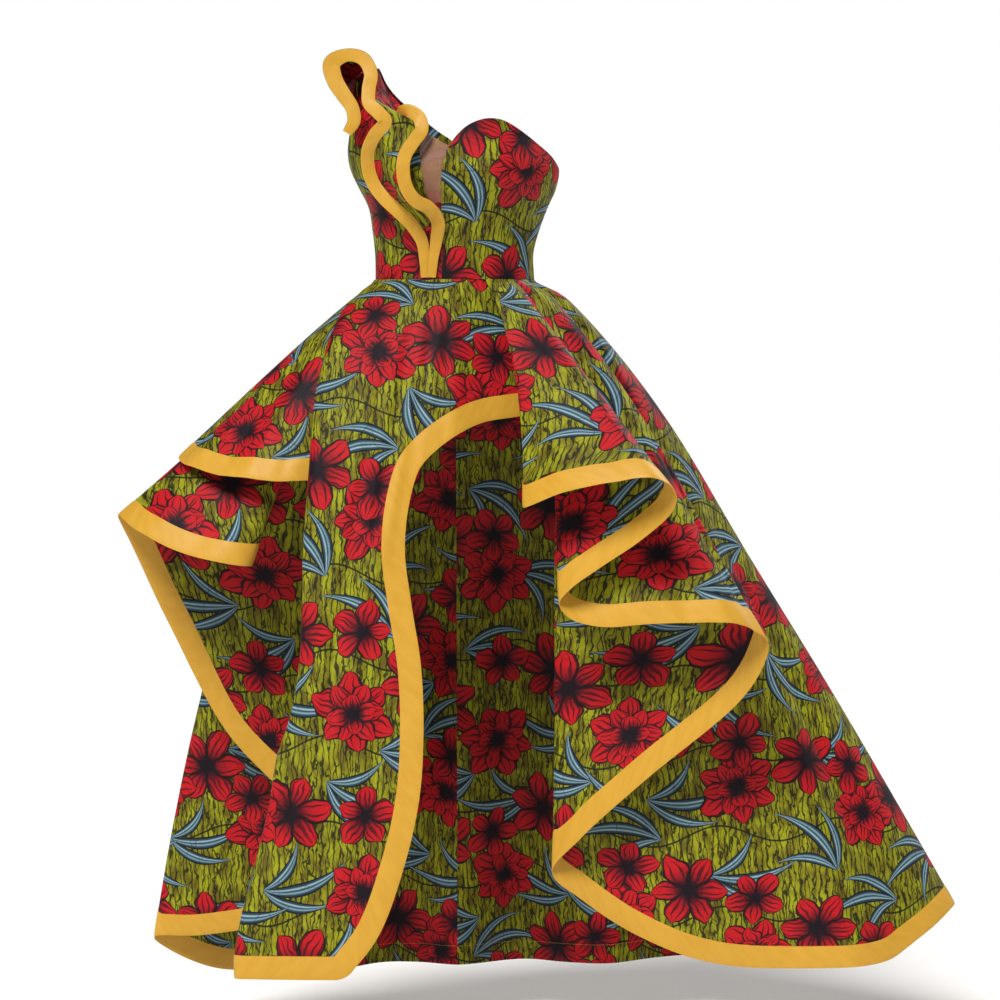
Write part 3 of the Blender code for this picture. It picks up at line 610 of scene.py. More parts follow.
def draw_spray(add, below, cloth, shift, seed):
    """Paints a spray of three leaf blades in each cell."""
    spot, chance = motif_cell(add, cloth, shift, seed, SPRAY_STRAY)
    random = add("SeparateXYZ", chance, output=2)
    swing = add("MapRange", random, 0.0, 1.0, -SPRAY_SWING, SPRAY_SWING)
    half_turn = add("SeparateXYZ", chance, output=1)
    half_turn = add("Math", half_turn, 0.5, operation="GREATER_THAN")
    half_turn = add("Math", half_turn, math.pi, operation="MULTIPLY")
    swing = add("Math", swing, half_turn, operation="ADD")
    spot = add("VectorRotate", spot, sockets={"Angle": swing}, rotation_type="Z_AXIS")
    spot = add("VectorMath", spot, (SPRAY_REACH, 0.0, 0.0), operation="ADD")
    painted = below
    for angle, length, bend, half in BLADES:
        laid = add("VectorRotate", spot, sockets={"Angle": math.radians(angle)},
                   rotation_type="Z_AXIS")
        along = add("SeparateXYZ", laid)
        side = along.node.outputs[1]
        along = add("Math", along, 1 / length, operation="MULTIPLY")
        bow = add("Math", along, 0.5, operation="SUBTRACT")
        bow = add("Math", bow, 2.0, operation="POWER")
        side = add("Math", bow, -bend * length, side, operation="MULTIPLY_ADD")
        side = add("Math", side, bend * length * 0.25, operation="ADD")
        width = add("Math", along, FULLEST, operation="POWER")
        width = add("Math", width, math.pi, operation="MULTIPLY")
        width = add("Math", width, operation="SINE")
        width = add("Math", width, half, operation="MULTIPLY")
        width = add("Math", width, 0.0001, operation="MAXIMUM")
        share = add("Math", side, width, operation="DIVIDE")
        from_line = add("Math", share, operation="ABSOLUTE")
        shape = add("MapRange", from_line, *BLADE_EDGE, 1.0, 0.0)
        start = add("Math", along, BLADE_ENDS[0], operation="GREATER_THAN")
        end = add("Math", along, BLADE_ENDS[1], operation="LESS_THAN")
        shape = add("Math", shape, start, operation="MULTIPLY")
        shape = add("Math", shape, end, operation="MULTIPLY")
        rim = add("MapRange", from_line, *BLADE_RIM, 0.0, 1.0)
        streak = add("Math", share, STREAKS, operation="MULTIPLY")
        streak = add("Math", streak, 1.0, operation="PINGPONG")
        dark = add("MapRange", streak, 0.0, 0.34, 0.85, 0.0)
        pale = add("MapRange", streak, 0.35, 0.85, 0.0, 0.9)
        lit = add("MapRange", share, -0.5, 0.8, 0.35, 1.0)
        pale = add("Math", pale, lit, operation="MULTIPLY")
        blue = add("Mix", pale, sockets={FIRST: colour(LEAF), SECOND: colour(LEAF_PALE)},
                   **OF_COLOURS)
        blue = add("Mix", dark, sockets={FIRST: blue, SECOND: colour(LEAF_EDGE)}, **OF_COLOURS)
        blue = add("Mix", rim, sockets={FIRST: blue, SECOND: colour(LEAF_EDGE)}, **OF_COLOURS)
        painted = add("Mix", shape, sockets={FIRST: painted, SECOND: blue}, **OF_COLOURS)
    return painted


print("leaf blades:", [round(blade[1] * 1000) for blade in BLADES], "mm long")

# %% [markdown]
# ### The whole print
# The layers go on as they do at the mill: ground, thin dark stems, leaves, and blossoms last.
# Two finishes tell the eye that this is cotton.  A fine plain weave roughens it, drawn at 0.9 mm a
# thread pair, coarser than the real 0.4 mm so that it shows close up.  A light press leaves a
# soft, broad shine.

# %% Wax print cotton
HALF_WIDTH, HALF_DROP = REPEAT[0] / 2, REPEAT[1] / 2
SPRAYS = [
    # place in the repeat, seed
    ((0.0, HALF_DROP), 3.0), ((HALF_WIDTH, 0.012), 8.0),
]
BLOSSOMS = [
    # place in the repeat, seed, radius, and the rings of petals: size, number and turn of each
    ((0.0, 0.0), 1.0, 0.066, [(1.0, 6, 0.0)]),
    ((HALF_WIDTH, HALF_DROP + 0.014), 5.0, 0.068, [(1.0, 6, 0.0), (0.76, 6, 0.5), (0.50, 4, 0.2)]),
    ((HALF_WIDTH, -0.042), 11.0, 0.050, [(1.0, 5, 0.0)]),
]
STEM_SWAY = 0.016        # metres the thin stems sway up and down
STEM_LOW = 0.020         # metres they are moved down the cloth
STEM_EDGE = (0.0011, 0.0021)   # half-width of a stem, up to its bled edge
THREAD_PAIR = 0.0009     # metres between two drawn pairs of threads
SLACK = (26.0, 14.0)     # the cloth lies uneven every 38 mm, so many times as high as its weave
PRESSED = (0.58, 0.74)   # roughness where the press took well, and where it took least


def make_wax_print():
    """Plain-weave cotton, resin printed on both faces and lightly pressed."""
    material, tree, add = new_material("wax_print_cotton")
    cloth = add("UVMap", uv_map="cloth")
    painted = draw_ground(add, cloth)

    x = add("SeparateXYZ", cloth)
    y = x.node.outputs[1]
    wave = add("Math", x, math.tau / REPEAT[0], operation="MULTIPLY")
    wave = add("Math", wave, operation="SINE")
    stem = add("Math", wave, STEM_SWAY, y, operation="MULTIPLY_ADD")
    stem = add("Math", stem, STEM_LOW, operation="ADD")
    stem = add("Math", stem, HALF_DROP / 2, operation="PINGPONG")
    stem = add("MapRange", stem, *STEM_EDGE, 0.95, 0.0)
    painted = add("Mix", stem, sockets={FIRST: painted, SECOND: colour(CRACK)}, **OF_COLOURS)

    for spray in SPRAYS:
        painted = draw_spray(add, painted, cloth, *spray)
    for blossom in BLOSSOMS:
        painted = draw_blossom(add, painted, cloth, *blossom)

    threads = math.tau / THREAD_PAIR
    threads = add("VectorMath", cloth, (threads, threads, 0.0), operation="MULTIPLY")
    over = add("SeparateXYZ", threads)
    under = over.node.outputs[1]
    over = add("Math", over, operation="SINE")
    under = add("Math", under, operation="SINE")
    weave = add("Math", over, under, operation="MULTIPLY")
    slack = add("TexNoise", cloth, sockets={"Scale": SLACK[0], "Detail": 3.0})
    height = add("Math", slack, SLACK[1], weave, operation="MULTIPLY_ADD")
    bump = add("Bump", sockets={"Strength": 0.35, "Distance": 0.00008, "Height": height})
    mill = add("TexNoise", cloth, sockets={"Scale": 9.0, "Detail": 4.0})
    rough = add("MapRange", mill, 0.3, 0.7, *PRESSED)
    shader = add("BsdfPrincipled", sockets={
        "Base Color": painted, "Roughness": rough, "IOR": 1.5, "Normal": bump,
        "Specular IOR Level": 0.22, "Sheen Weight": 0.02, "Sheen Roughness": 0.4})
    add("OutputMaterial", shader)
    print("wax print:", len(tree.nodes), "nodes")
    return material


wax_print = make_wax_print()

# %% [markdown]
# ### Bias binding
# Binding is a strip cut at 45 degrees to the threads, folded over the raw edge and stitched.
# This one is cotton sateen, so it has a soft shine, a fine slanting grain, and slight puckers
# where the strip is eased round a curve, with painted shade in their hollows.

# %% Sateen binding
BINDING_GRAIN = (900.0, 160.0, 0.0)   # cells a metre: threads drawn 1.1 mm wide and 6 mm long
PUCKERS = (70.0, 18.0, 0.0)           # and puckers 14 mm wide and 55 mm long
PUCKER_HEIGHT = 9.0                   # how many times as high as the threads a pucker stands


def make_binding():
    """Cotton sateen cut on the bias: a smooth face, a slanting grain, soft puckers and painted
    shade in their hollows.
    """
    material, tree, add = new_material("yellow_sateen_binding")
    cloth = add("UVMap", uv_map="cloth")
    slant = add("VectorRotate", cloth, sockets={"Angle": math.radians(45.0)},
                rotation_type="Z_AXIS")
    grain = add("VectorMath", slant, BINDING_GRAIN, operation="MULTIPLY")
    grain = add("TexNoise", grain, sockets={"Scale": 1.0, "Detail": 2.0})
    pucker = add("VectorMath", slant, PUCKERS, operation="MULTIPLY")
    pucker = add("TexNoise", pucker, sockets={"Scale": 1.0, "Detail": 2.0})
    height = add("Math", pucker, PUCKER_HEIGHT, grain, operation="MULTIPLY_ADD")
    bump = add("Bump", sockets={"Strength": 0.35, "Distance": 0.00010, "Height": height})
    # Painted shade: the colour follows the puckers' height, a little deeper in their hollows and
    # lighter on their crests.
    tone = add("MapRange", pucker, 0.35, 0.65, 0.0, 1.0)
    yellow = add("Mix", tone, sockets={FIRST: colour("#CC982E"), SECOND: colour("#D29F35")},
                 **OF_COLOURS)
    shader = add("BsdfPrincipled", sockets={
        "Base Color": yellow, "Roughness": 0.5, "IOR": 1.5, "Normal": bump,
        "Specular IOR Level": 0.3, "Sheen Weight": 0.02, "Sheen Roughness": 0.35})
    add("OutputMaterial", shader)
    print("binding:", len(tree.nodes), "nodes")
    return material


sateen = make_binding()

# %% [markdown]
# ### Sheer mesh and thread
# The insert is fine stretch mesh dyed to a skin tone.  Its holes are under a millimetre, far too
# many to cut, so the material is part see-through, and a net of small dots lets less light
# through at the threads.  The holes are drawn 1.6 mm apart so that they show.  The stitches are
# polyester thread, with a brighter shine than the cotton, and painted highlights in streaks along
# the twisted plies.

# %% Mesh and thread
MESH_HOLES = 0.0016      # metres between two drawn holes
TWIST_GLINT = 1400.0           # cells a metre: painted highlights on the twisted plies repeat every 0.7 mm


def make_sheer_mesh():
    """Fine nylon stretch mesh, sheer and matt."""
    material, tree, add = new_material("sheer_stretch_mesh")
    cloth = add("UVMap", uv_map="cloth")
    net = add("TexVoronoi", cloth, sockets={"Scale": 1 / MESH_HOLES, "Randomness": 0.12},
              voronoi_dimensions="2D", feature="DISTANCE_TO_EDGE")
    cover = add("MapRange", net, 0.05, 0.16, 0.80, 0.42)
    shader = add("BsdfPrincipled", sockets={
        "Base Color": colour("#A8765F"), "Roughness": 0.75, "IOR": 1.5, "Alpha": cover})
    add("OutputMaterial", shader)
    return material


def make_thread():
    """Spun polyester sewing thread, glossy, with painted highlights in streaks along its twisted
    plies.
    """
    material, tree, add = new_material("polyester_thread")
    place = add("TexCoord", output=3)
    # Painted highlights: the thread turns lighter in streaks along its twisted plies.
    twist_glint = add("TexNoise", place, sockets={"Scale": TWIST_GLINT, "Detail": 1.0})
    tone = add("Mix", twist_glint, sockets={FIRST: colour("#D79A2C"), SECOND: colour("#F0BE55")},
               **OF_COLOURS)
    shader = add("BsdfPrincipled", sockets={
        "Base Color": tone, "Roughness": 0.38, "IOR": 1.55})
    add("OutputMaterial", shader)
    return material


sheer = make_sheer_mesh()
thread = make_thread()
print("materials:", [m.name for m in (wax_print, sateen, sheer, thread)])

# %% [markdown]
# ## The bodice
# A bodice like this is stiffened, so it stands as one smooth surface over the cups, with seams at
# the sides, the centre back and the front.  Its shape is a stack of rounded sections, one at each
# height, and two soft bumps for the cups.  Lofting a curve through the sections would also do, but
# a function of bearing and height lets every panel read the same surface, so seams always meet.
# Bearings run in degrees from the front toward the wearer's left.

# %% Bodice surface
SHOULDER = 0.346        # height of the shoulder seam above the waist
TORSO = [
    # height, half-width right, left, depth front, back
    (-0.010, 0.130, 0.130, 0.100, 0.085), (0.000, 0.130, 0.130, 0.100, 0.085),
    (0.045, 0.131, 0.129, 0.101, 0.084), (0.080, 0.135, 0.138, 0.106, 0.087),
    (0.120, 0.142, 0.153, 0.114, 0.092), (0.150, 0.157, 0.166, 0.121, 0.096),
    (0.175, 0.169, 0.171, 0.125, 0.099), (0.205, 0.177, 0.167, 0.122, 0.101),
    (0.240, 0.178, 0.160, 0.112, 0.101), (0.280, 0.177, 0.158, 0.096, 0.096),
    (0.310, 0.175, 0.158, 0.071, 0.076), (0.330, 0.173, 0.158, 0.046, 0.051),
    (0.342, 0.172, 0.158, 0.020, 0.023), (SHOULDER, 0.172, 0.158, 0.0004, 0.0004),
]
# Middle of a cup, across and up; how far it spreads, and how far it stands forward.
CUP_X, CUP_Z, CUP_SIZE, CUP_DEPTH = 0.088, 0.165, 0.052, 0.018


def torso_section(height):
    """Half-widths to the right and left and depths to the front and back, at a height."""
    table = np.array(TORSO)
    return spline(table[:, 0], table[:, 1:], height)


def torso_point(bearing, height):
    """A point of the bodice at a bearing and a height above the waist."""
    section = torso_section(height)
    turn = np.radians(bearing)
    side = np.where(np.sin(turn) > 0, section[..., 1], section[..., 0])
    depth = np.where(np.cos(turn) > 0, section[..., 2], section[..., 3])
    x = side * np.sin(turn)
    y = -depth * np.cos(turn)
    cups = np.exp(-((np.abs(x) - CUP_X) / CUP_SIZE) ** 2 - ((height - CUP_Z) / CUP_SIZE) ** 2)
    y = y - np.where(np.cos(turn) > 0, CUP_DEPTH * cups * np.cos(turn), 0.0)
    return np.stack([x, y, height + 0 * x], axis=-1)


def torso_normals(bearing, height):
    """Normals of the bodice's surface, shared by the pieces that meet at a seam."""
    turn, rise = 0.01, 1e-4
    over = torso_point(bearing + turn, height) - torso_point(bearing - turn, height)
    up = torso_point(bearing, height + rise) - torso_point(bearing, height - rise)
    return unit(np.cross(over, up))


def bearing_at(x, height):
    """Bearing, on the front of the bodice, of the point with this X at this height."""
    section = torso_section(height)
    side = np.where(x > 0, section[..., 1], section[..., 0])
    return np.degrees(np.arcsin(np.clip(x / side, -1, 1)))


bust = torso_point(np.linspace(0.0, 360.0, 181), np.full(181, CUP_Z))
print("girth at the bust:", round(length_along(bust)[-1], 3), "m")

# %% [markdown]
# ### Drag folds and seams
# Even a stiffened bodice pulls into faint slanting folds, and each seam draws a shallow valley.
# Sculpting them by hand would lose the panels' shared borders, so each fold is a row in a table
# and is added along the normals.

# %% Bodice folds
# Soft drag folds in the bodice: bearing and height of the middle, half-length along the fold,
# half-width across it, slope in degrees, and height of the ridge.
BODICE_FOLDS = [
    (35.0, 0.030, 0.045, 0.0045, 24.0, 0.0011), (52.0, 0.062, 0.050, 0.0050, 16.0, 0.0010),
    (300.0, 0.026, 0.045, 0.0045, -22.0, 0.0011), (318.0, 0.060, 0.040, 0.0050, -30.0, 0.0009),
    (15.0, 0.060, 0.035, 0.0040, 35.0, 0.0008), (72.0, 0.115, 0.040, 0.0050, 40.0, 0.0011),
    (120.0, 0.030, 0.050, 0.0050, -14.0, 0.0012), (150.0, 0.060, 0.050, 0.0050, -20.0, 0.0010),
    (168.0, 0.026, 0.035, 0.0045, -26.0, 0.0010), (205.0, 0.040, 0.050, 0.0050, 18.0, 0.0012),
    (238.0, 0.070, 0.050, 0.0050, 22.0, 0.0010), (225.0, 0.150, 0.045, 0.0055, 12.0, 0.0009),
]
FOLDS_FADE = 0.008      # height above the waist seam in which the folds grow
STRAP_CURLS = 0.30      # height from which the strap's cloth turns to face up at the shoulder
CURL_POWER = 6          # so late that only the last centimetre turns


def drag_folds(bearing, height):
    """Height of the bodice's soft folds above its smooth surface."""
    rise = 0.0 * bearing
    for middle, level, half_length, half_width, slope, peak in BODICE_FOLDS:
        across = np.radians((bearing - middle + 180.0) % 360.0 - 180.0) * WAIST_SIDE
        up = height - level
        lean = math.radians(slope)
        along = across * math.cos(lean) + up * math.sin(lean)
        aside = up * math.cos(lean) - across * math.sin(lean)
        rise = rise + peak * np.exp(-(along / half_length) ** 2 - (aside / half_width) ** 2)
    return rise * np.clip(height / FOLDS_FADE, 0.0, 1.0)


def seam_dip(points, sides, depth=0.0009, width=0.0035):
    """The shallow valley that a seam draws along the chosen borders of a panel."""
    dip = np.zeros(points.shape[:2])
    over = np.array([length_along(row) for row in points])
    if "first" in sides:
        dip -= depth * np.exp(-(over / width) ** 2)
    if "last" in sides:
        dip -= depth * np.exp(-((over[:, -1:] - over) / width) ** 2)
    return dip


def make_bodice_panel(name, node, bearings, heights, seams):
    """A bodice panel from its grid of bearings and heights."""
    points = torso_point(bearings, heights)
    normals = torso_normals(bearings, heights)
    lean = np.clip((heights - STRAP_CURLS) / (SHOULDER - STRAP_CURLS), 0.0, 1.0)
    lean = lean[..., None] ** CURL_POWER
    normals = unit(normals * (1 - lean) + np.array([0.0, 0.0, 1.0]) * lean)
    rise = drag_folds(bearings, heights) + seam_dip(points, seams)
    pattern = lay_flat(points, 0.0)
    piece = make_shell(name, points + normals * rise[..., None], normals, BODICE_CLOTH / 2,
                       pattern, wax_print)
    hand_in(piece, node)


print(len(BODICE_FOLDS), "drag folds")

# %% [markdown]
# ### Cutting the bodice panels
# The half over the wearer's right narrows into the strap: two edges close in on each other as they
# climb, and front and back meet in the shoulder seam.  Each edge is a table of a few heights, read
# as a smooth curve.

# %% Strap side
CENTRE_SEAM_X = -0.0205 # where the front seam runs, a little to the wearer's right
UNDERARM = 0.180        # height of the wearer's right underarm
STRAP_FRONT = [
    # height, bearing of the armhole edge, X of the neckline edge
    (0.0, 270.0, CENTRE_SEAM_X), (0.055, 270.0, CENTRE_SEAM_X), (0.108, 270.0, CENTRE_SEAM_X),
    (0.119, 270.0, -0.036), (0.140, 270.0, -0.046), (0.165, 270.0, -0.051),
    (UNDERARM, 270.0, -0.053), (0.205, 277.0, -0.056), (0.230, 283.0, -0.058),
    (0.255, 287.0, -0.068), (0.280, 289.0, -0.086), (0.302, 289.0, -0.104),
    (0.320, 286.0, -0.115), (0.334, 281.0, -0.121), (0.342, 277.0, -0.124),
    (SHOULDER, 274.0, -0.124),
]
STRAP_BACK = [
    # height, bearing of the top edge, bearing of the armhole edge
    (0.0, 180.0, 270.0), (0.055, 180.0, 270.0), (0.108, 180.0, 270.0),
    (0.140, 180.0, 270.0), (0.165, 180.0, 270.0), (UNDERARM, 180.0, 270.0),
    (0.225, 180.0, 261.0), (0.250, 190.0, 256.0), (0.280, 203.0, 253.0),
    (0.305, 214.0, 254.0), (0.325, 221.0, 258.0), (0.340, 224.5, 262.0),
    (SHOULDER, 226.0, 266.0),
]
STEPS_PER_ROW = 4       # grid rows between two rows of a bodice table
ACROSS_STRAP = 40       # grid columns across a panel on the strap's side


def finer(table, steps):
    """The rows of a table with smooth in-between rows."""
    table = np.array(table, float)
    index = np.arange(len(table), dtype=float)
    at = np.linspace(0, len(table) - 1, (len(table) - 1) * steps + 1)
    low = np.minimum(at.astype(int), len(table) - 2)
    share = (at - low)[:, None]
    straight = table[low] * (1 - share) + table[low + 1] * share
    return np.where(np.isclose(table[low], table[low + 1]), straight, spline(index, table, at))


strap_front, strap_back = finer(STRAP_FRONT, STEPS_PER_ROW), finer(STRAP_BACK, STEPS_PER_ROW)
strap_front[:, 2] = 360.0 + bearing_at(strap_front[:, 2], strap_front[:, 0])
share = np.linspace(0.0, 1.0, ACROSS_STRAP)[None, :]
for name, node, rows, seams in [
        ("bodice_print_front_right", "bodice_front_r", strap_front, ("first",)),
        ("bodice_print_back_right", "bodice_back_r", strap_back, ("first", "last"))]:
    bearings = rows[:, 1:2] + (rows[:, 2:3] - rows[:, 1:2]) * share
    make_bodice_panel(name, node, bearings, np.broadcast_to(rows[:, :1], bearings.shape), seams)

# %% [markdown]
# ### The strapless side
# The strapless half ends in a sweetheart curve that drops to a low back.  Its front starts at the
# edge of the plunge, which is a table too, because the mesh behind it reads the same edges.

# %% Strapless side
SWEETHEART = [
    # how far round from the plunge to the side, height
    (0.00, 0.2060), (0.03, 0.223), (0.07, 0.236), (0.12, 0.247), (0.19, 0.256),
    (0.28, 0.2600), (0.36, 0.257), (0.44, 0.248), (0.55, 0.232), (0.66, 0.216),
    (0.78, 0.202), (0.89, 0.188), (1.00, 0.178),
]
BACK_TOP = 0.225        # height of the back's top edge at the centre back
SIDE_TOP = 0.178        # and at the wearer's left side seam
SIDE, BACK = 90.0, 180.0   # bearings of the left side seam and of the centre back
PLUNGE = [
    # height, X of the right and the left edge of the mesh
    (0.1225, -0.0375, CENTRE_SEAM_X), (0.140, -0.046, CENTRE_SEAM_X),
    (0.165, -0.051, CENTRE_SEAM_X), (UNDERARM, -0.053, -0.019), (0.205, -0.056, -0.013),
    (0.230, -0.058, -0.011), (0.247, -0.064, -0.012),
]
LEFT_ROWS = 41          # grid rows up a panel on the strapless side
FRONT_COLUMNS = 61      # grid columns across its front
BACK_COLUMNS = 41       # and across its back

top, plunge = np.array(SWEETHEART), np.array(PLUNGE)
round_share = np.linspace(0.0, 1.0, FRONT_COLUMNS)[None, :]
rises = np.linspace(0.0, 1.0, LEFT_ROWS)[:, None]
heights = rises * spline(top[:, 0], top[:, 1], round_share)
start = bearing_at(spline(plunge[:, 0], plunge[:, 2], heights), heights)
make_bodice_panel("bodice_print_front_left", "bodice_front_l",
                  start + (SIDE - start) * round_share, heights, ("last",))

round_back = np.linspace(SIDE, BACK, BACK_COLUMNS)[None, :]
heights = rises * (SIDE_TOP + (BACK_TOP - SIDE_TOP) * (round_back - SIDE) / (BACK - SIDE))
make_bodice_panel("bodice_print_back_left", "bodice_back_l",
                  np.broadcast_to(round_back, heights.shape), heights, ("first", "last"))

# %% [markdown]
# ### The sheer insert
# The plunge is backed with skin-toned mesh, sewn a few millimetres behind the edges of the print.
# It follows the bodice's own surface, a millimetre inside it, so it needs no curve of its own.

# %% Plunge insert
MESH_CLOTH = 0.0004
MESH_TUCK = 0.004       # how far the mesh runs on behind the print on each side
MESH_INSET = 0.0013     # how far behind the print it lies
MESH_SLOPE = 0.27       # how much lower its top edge ends at the cup, as a share of its height
MESH_COLUMNS = 14       # grid columns across it

fine = finer(PLUNGE, STEPS_PER_ROW)
over = np.linspace(0, 1, MESH_COLUMNS)
drop = 1.0 - MESH_SLOPE * over * np.linspace(0, 1, len(fine))[:, None] ** 3
heights = fine[:1, :1] + (fine[:, :1] - fine[:1, :1]) * drop
edges = [spline(plunge[:, 0], plunge[:, column], heights) for column in (1, 2)]
x = edges[0] - MESH_TUCK + (edges[1] - edges[0] + 2 * MESH_TUCK) * over
bearings = bearing_at(x, heights)
normals = torso_normals(bearings, heights)
points = torso_point(bearings, heights) - normals * MESH_INSET
pattern = lay_flat(points, 0.0)
insert = make_shell("plunge_mesh_insert", points, normals, MESH_CLOTH / 2, pattern, sheer)
hand_in(insert, "plunge_mesh")

# %% [markdown]
# ## Binding and its stitches
# A binding is folded over the edge, so it is thickest in the middle and thin at its stitched edge.
# The shell helper already takes a thickness for every point, and a short table shapes it.
#
# A row of stitches holds it down, 3.4 mm apart and 2 mm from the edge.  Repeated shapes on a path
# are a job for Geometry Nodes: a path with its own normals goes in, Resample Curve spaces the
# points, Instance on Points sets a small thread on each, and Realize Instances makes them real.

# %% Stitch tree
STITCH_PITCH = 0.0034    # metres from one stitch to the next
STITCH_LENGTH = 0.0026
STITCH_WIDTH = 0.00055


def make_stitch_tree():
    """Node group that lays small threads along the edges of a mesh path."""
    tree = bpy.data.node_groups.new("topstitching", "GeometryNodeTree")
    tree.interface.new_socket("Path", in_out="INPUT", socket_type="NodeSocketGeometry")
    for label in ("Pitch", "Length", "Width"):
        size = tree.interface.new_socket(label, in_out="INPUT", socket_type="NodeSocketFloat")
        size.subtype = "DISTANCE"
    tree.interface.new_socket("Thread", in_out="INPUT", socket_type="NodeSocketMaterial")
    tree.interface.new_socket("Stitches", in_out="OUTPUT", socket_type="NodeSocketGeometry")
    add = functools.partial(add_node, tree, "")
    path = add("NodeGroupInput")
    group = path.node
    curve = add("GeometryNodeMeshToCurve", path)
    curve = add("GeometryNodeResampleCurve", curve)
    resample = curve.node
    resample.mode = "LENGTH"
    tree.links.new(group.outputs["Pitch"], resample.inputs["Length"])
    tangent = add("GeometryNodeInputTangent")
    normal = add("GeometryNodeInputNamedAttribute", "facing", data_type="FLOAT_VECTOR")
    turn = add("FunctionNodeAlignRotationToVector", sockets={"Vector": tangent}, axis="X")
    turn = add("FunctionNodeAlignRotationToVector", sockets={"Rotation": turn, "Vector": normal},
               axis="Z", pivot_axis="X")
    grain = add("GeometryNodeMeshIcoSphere", sockets={"Radius": 0.5, "Subdivisions": 1})
    size = add("ShaderNodeCombineXYZ", group.outputs["Length"], group.outputs["Width"],
               group.outputs["Width"])
    grain = add("GeometryNodeTransform", grain, sockets={"Scale": size})
    grain = add("GeometryNodeSetShadeSmooth", grain)
    placed = add("GeometryNodeInstanceOnPoints", curve,
                 sockets={"Instance": grain, "Rotation": turn})
    placed = add("GeometryNodeRealizeInstances", placed)
    placed = add("GeometryNodeSetMaterial", placed, sockets={"Material": group.outputs["Thread"]})
    add("NodeGroupOutput", placed)
    return tree


stitch_tree = make_stitch_tree()
print("stitch tree:", len(stitch_tree.nodes), "nodes")

# %% [markdown]
# ### Sewing a binding on
# The tree is put on a path as a modifier, its inputs are set, and the finished stitches are taken
# off as a plain mesh, so that nothing live stays behind.  The binding itself is a shell on a narrow
# grid.  Its stitches show on both faces.

# %% Binding and stitches
# Half the binding's thickness, from its stitched edge across to its folded edge.
BAND_PROFILE = [
    # share of the width, half thickness
    (0.00, 0.0008), (0.06, 0.0009), (0.10, 0.0008), (0.16, 0.0013), (0.35, 0.0015),
    (0.60, 0.0015), (0.84, 0.0014), (0.95, 0.0010), (1.00, 0.0004),
]
THINNEST = 0.35          # the narrower a binding, the thinner it folds, down to this share
STITCH_INSET = 0.0022    # how far the row of stitches runs from the binding's edge
STITCH_PROUD = 0.0001    # how far a stitch's middle stands above the cloth
STITCH_FACES = 20        # faces of one stitch, for counting them


def sew(name, paths, facings):
    """A piece of stitches along several paths, each with the normals of the cloth there."""
    corners = np.concatenate(paths)
    starts = np.cumsum([0] + [len(path) for path in paths[:-1]])
    edges = np.concatenate([np.stack([np.arange(len(path) - 1), np.arange(1, len(path))], axis=1)
                            + start for path, start in zip(paths, starts)])
    mesh = bpy.data.meshes.new(name + "_path")
    mesh.from_pydata(corners.tolist(), edges.tolist(), [])
    facing = mesh.attributes.new("facing", "FLOAT_VECTOR", "POINT")
    facing.data.foreach_set("vector", np.concatenate(facings).astype(np.float32).ravel())
    path = put_in_scene(name + "_path", mesh)
    nodes = path.modifiers.new("topstitching", "NODES")
    nodes.node_group = stitch_tree
    wanted = {"Pitch": STITCH_PITCH, "Length": STITCH_LENGTH, "Width": STITCH_WIDTH,
              "Thread": thread}
    for socket in stitch_tree.interface.items_tree:
        if socket.in_out == "INPUT" and socket.name in wanted:
            nodes[socket.identifier] = wanted[socket.name]
    evaluated = path.evaluated_get(bpy.context.evaluated_depsgraph_get())
    made = bpy.data.meshes.new_from_object(evaluated)
    made.name = name
    bpy.data.objects.remove(path, do_unlink=True)
    print(name, len(made.polygons) // STITCH_FACES, "stitches")
    return put_in_scene(name, made)


def make_binding_piece(name, node, band, normals, stitched, behind=0.0):
    """A sleeve of binding over a grid whose columns run from edge to edge, and its stitches.

    The stitches of its inner face lie behind it by the given distance, where they go through more.
    """
    shares = np.linspace(0.0, 1.0, band.shape[1])
    if stitched == "last":
        shares = 1.0 - shares
    profile = np.array(BAND_PROFILE)
    half = np.interp(shares, profile[:, 0], profile[:, 1])
    width = length_along(band[len(band) // 2])[-1]
    half = half * min(1.0, THINNEST + (1.0 - THINNEST) * width / BAND)
    piece = make_shell(name, band, normals, half[None, :], across_pattern(band), sateen)
    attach(piece, "root")
    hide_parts(node)

    column = np.argmin(np.abs(shares - STITCH_INSET / width))
    line, out = band[:, column], normals[:, column]
    lift = half[column] + STITCH_PROUD
    inner = line + out * (lift + behind)
    stitches = sew(name + "_stitches", [inner, line - out * lift], [out, out])
    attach(stitches, "root")

# %% [markdown]
# ## The neckline ruffle
# The ruffle is a strip of print between two bindings.  It climbs from the waist beside the plunge,
# ripples, and ends in one big flute on the shoulder.  Both bound edges are paths in space, and each
# binding is a flat ribbon along its path that faces forward.

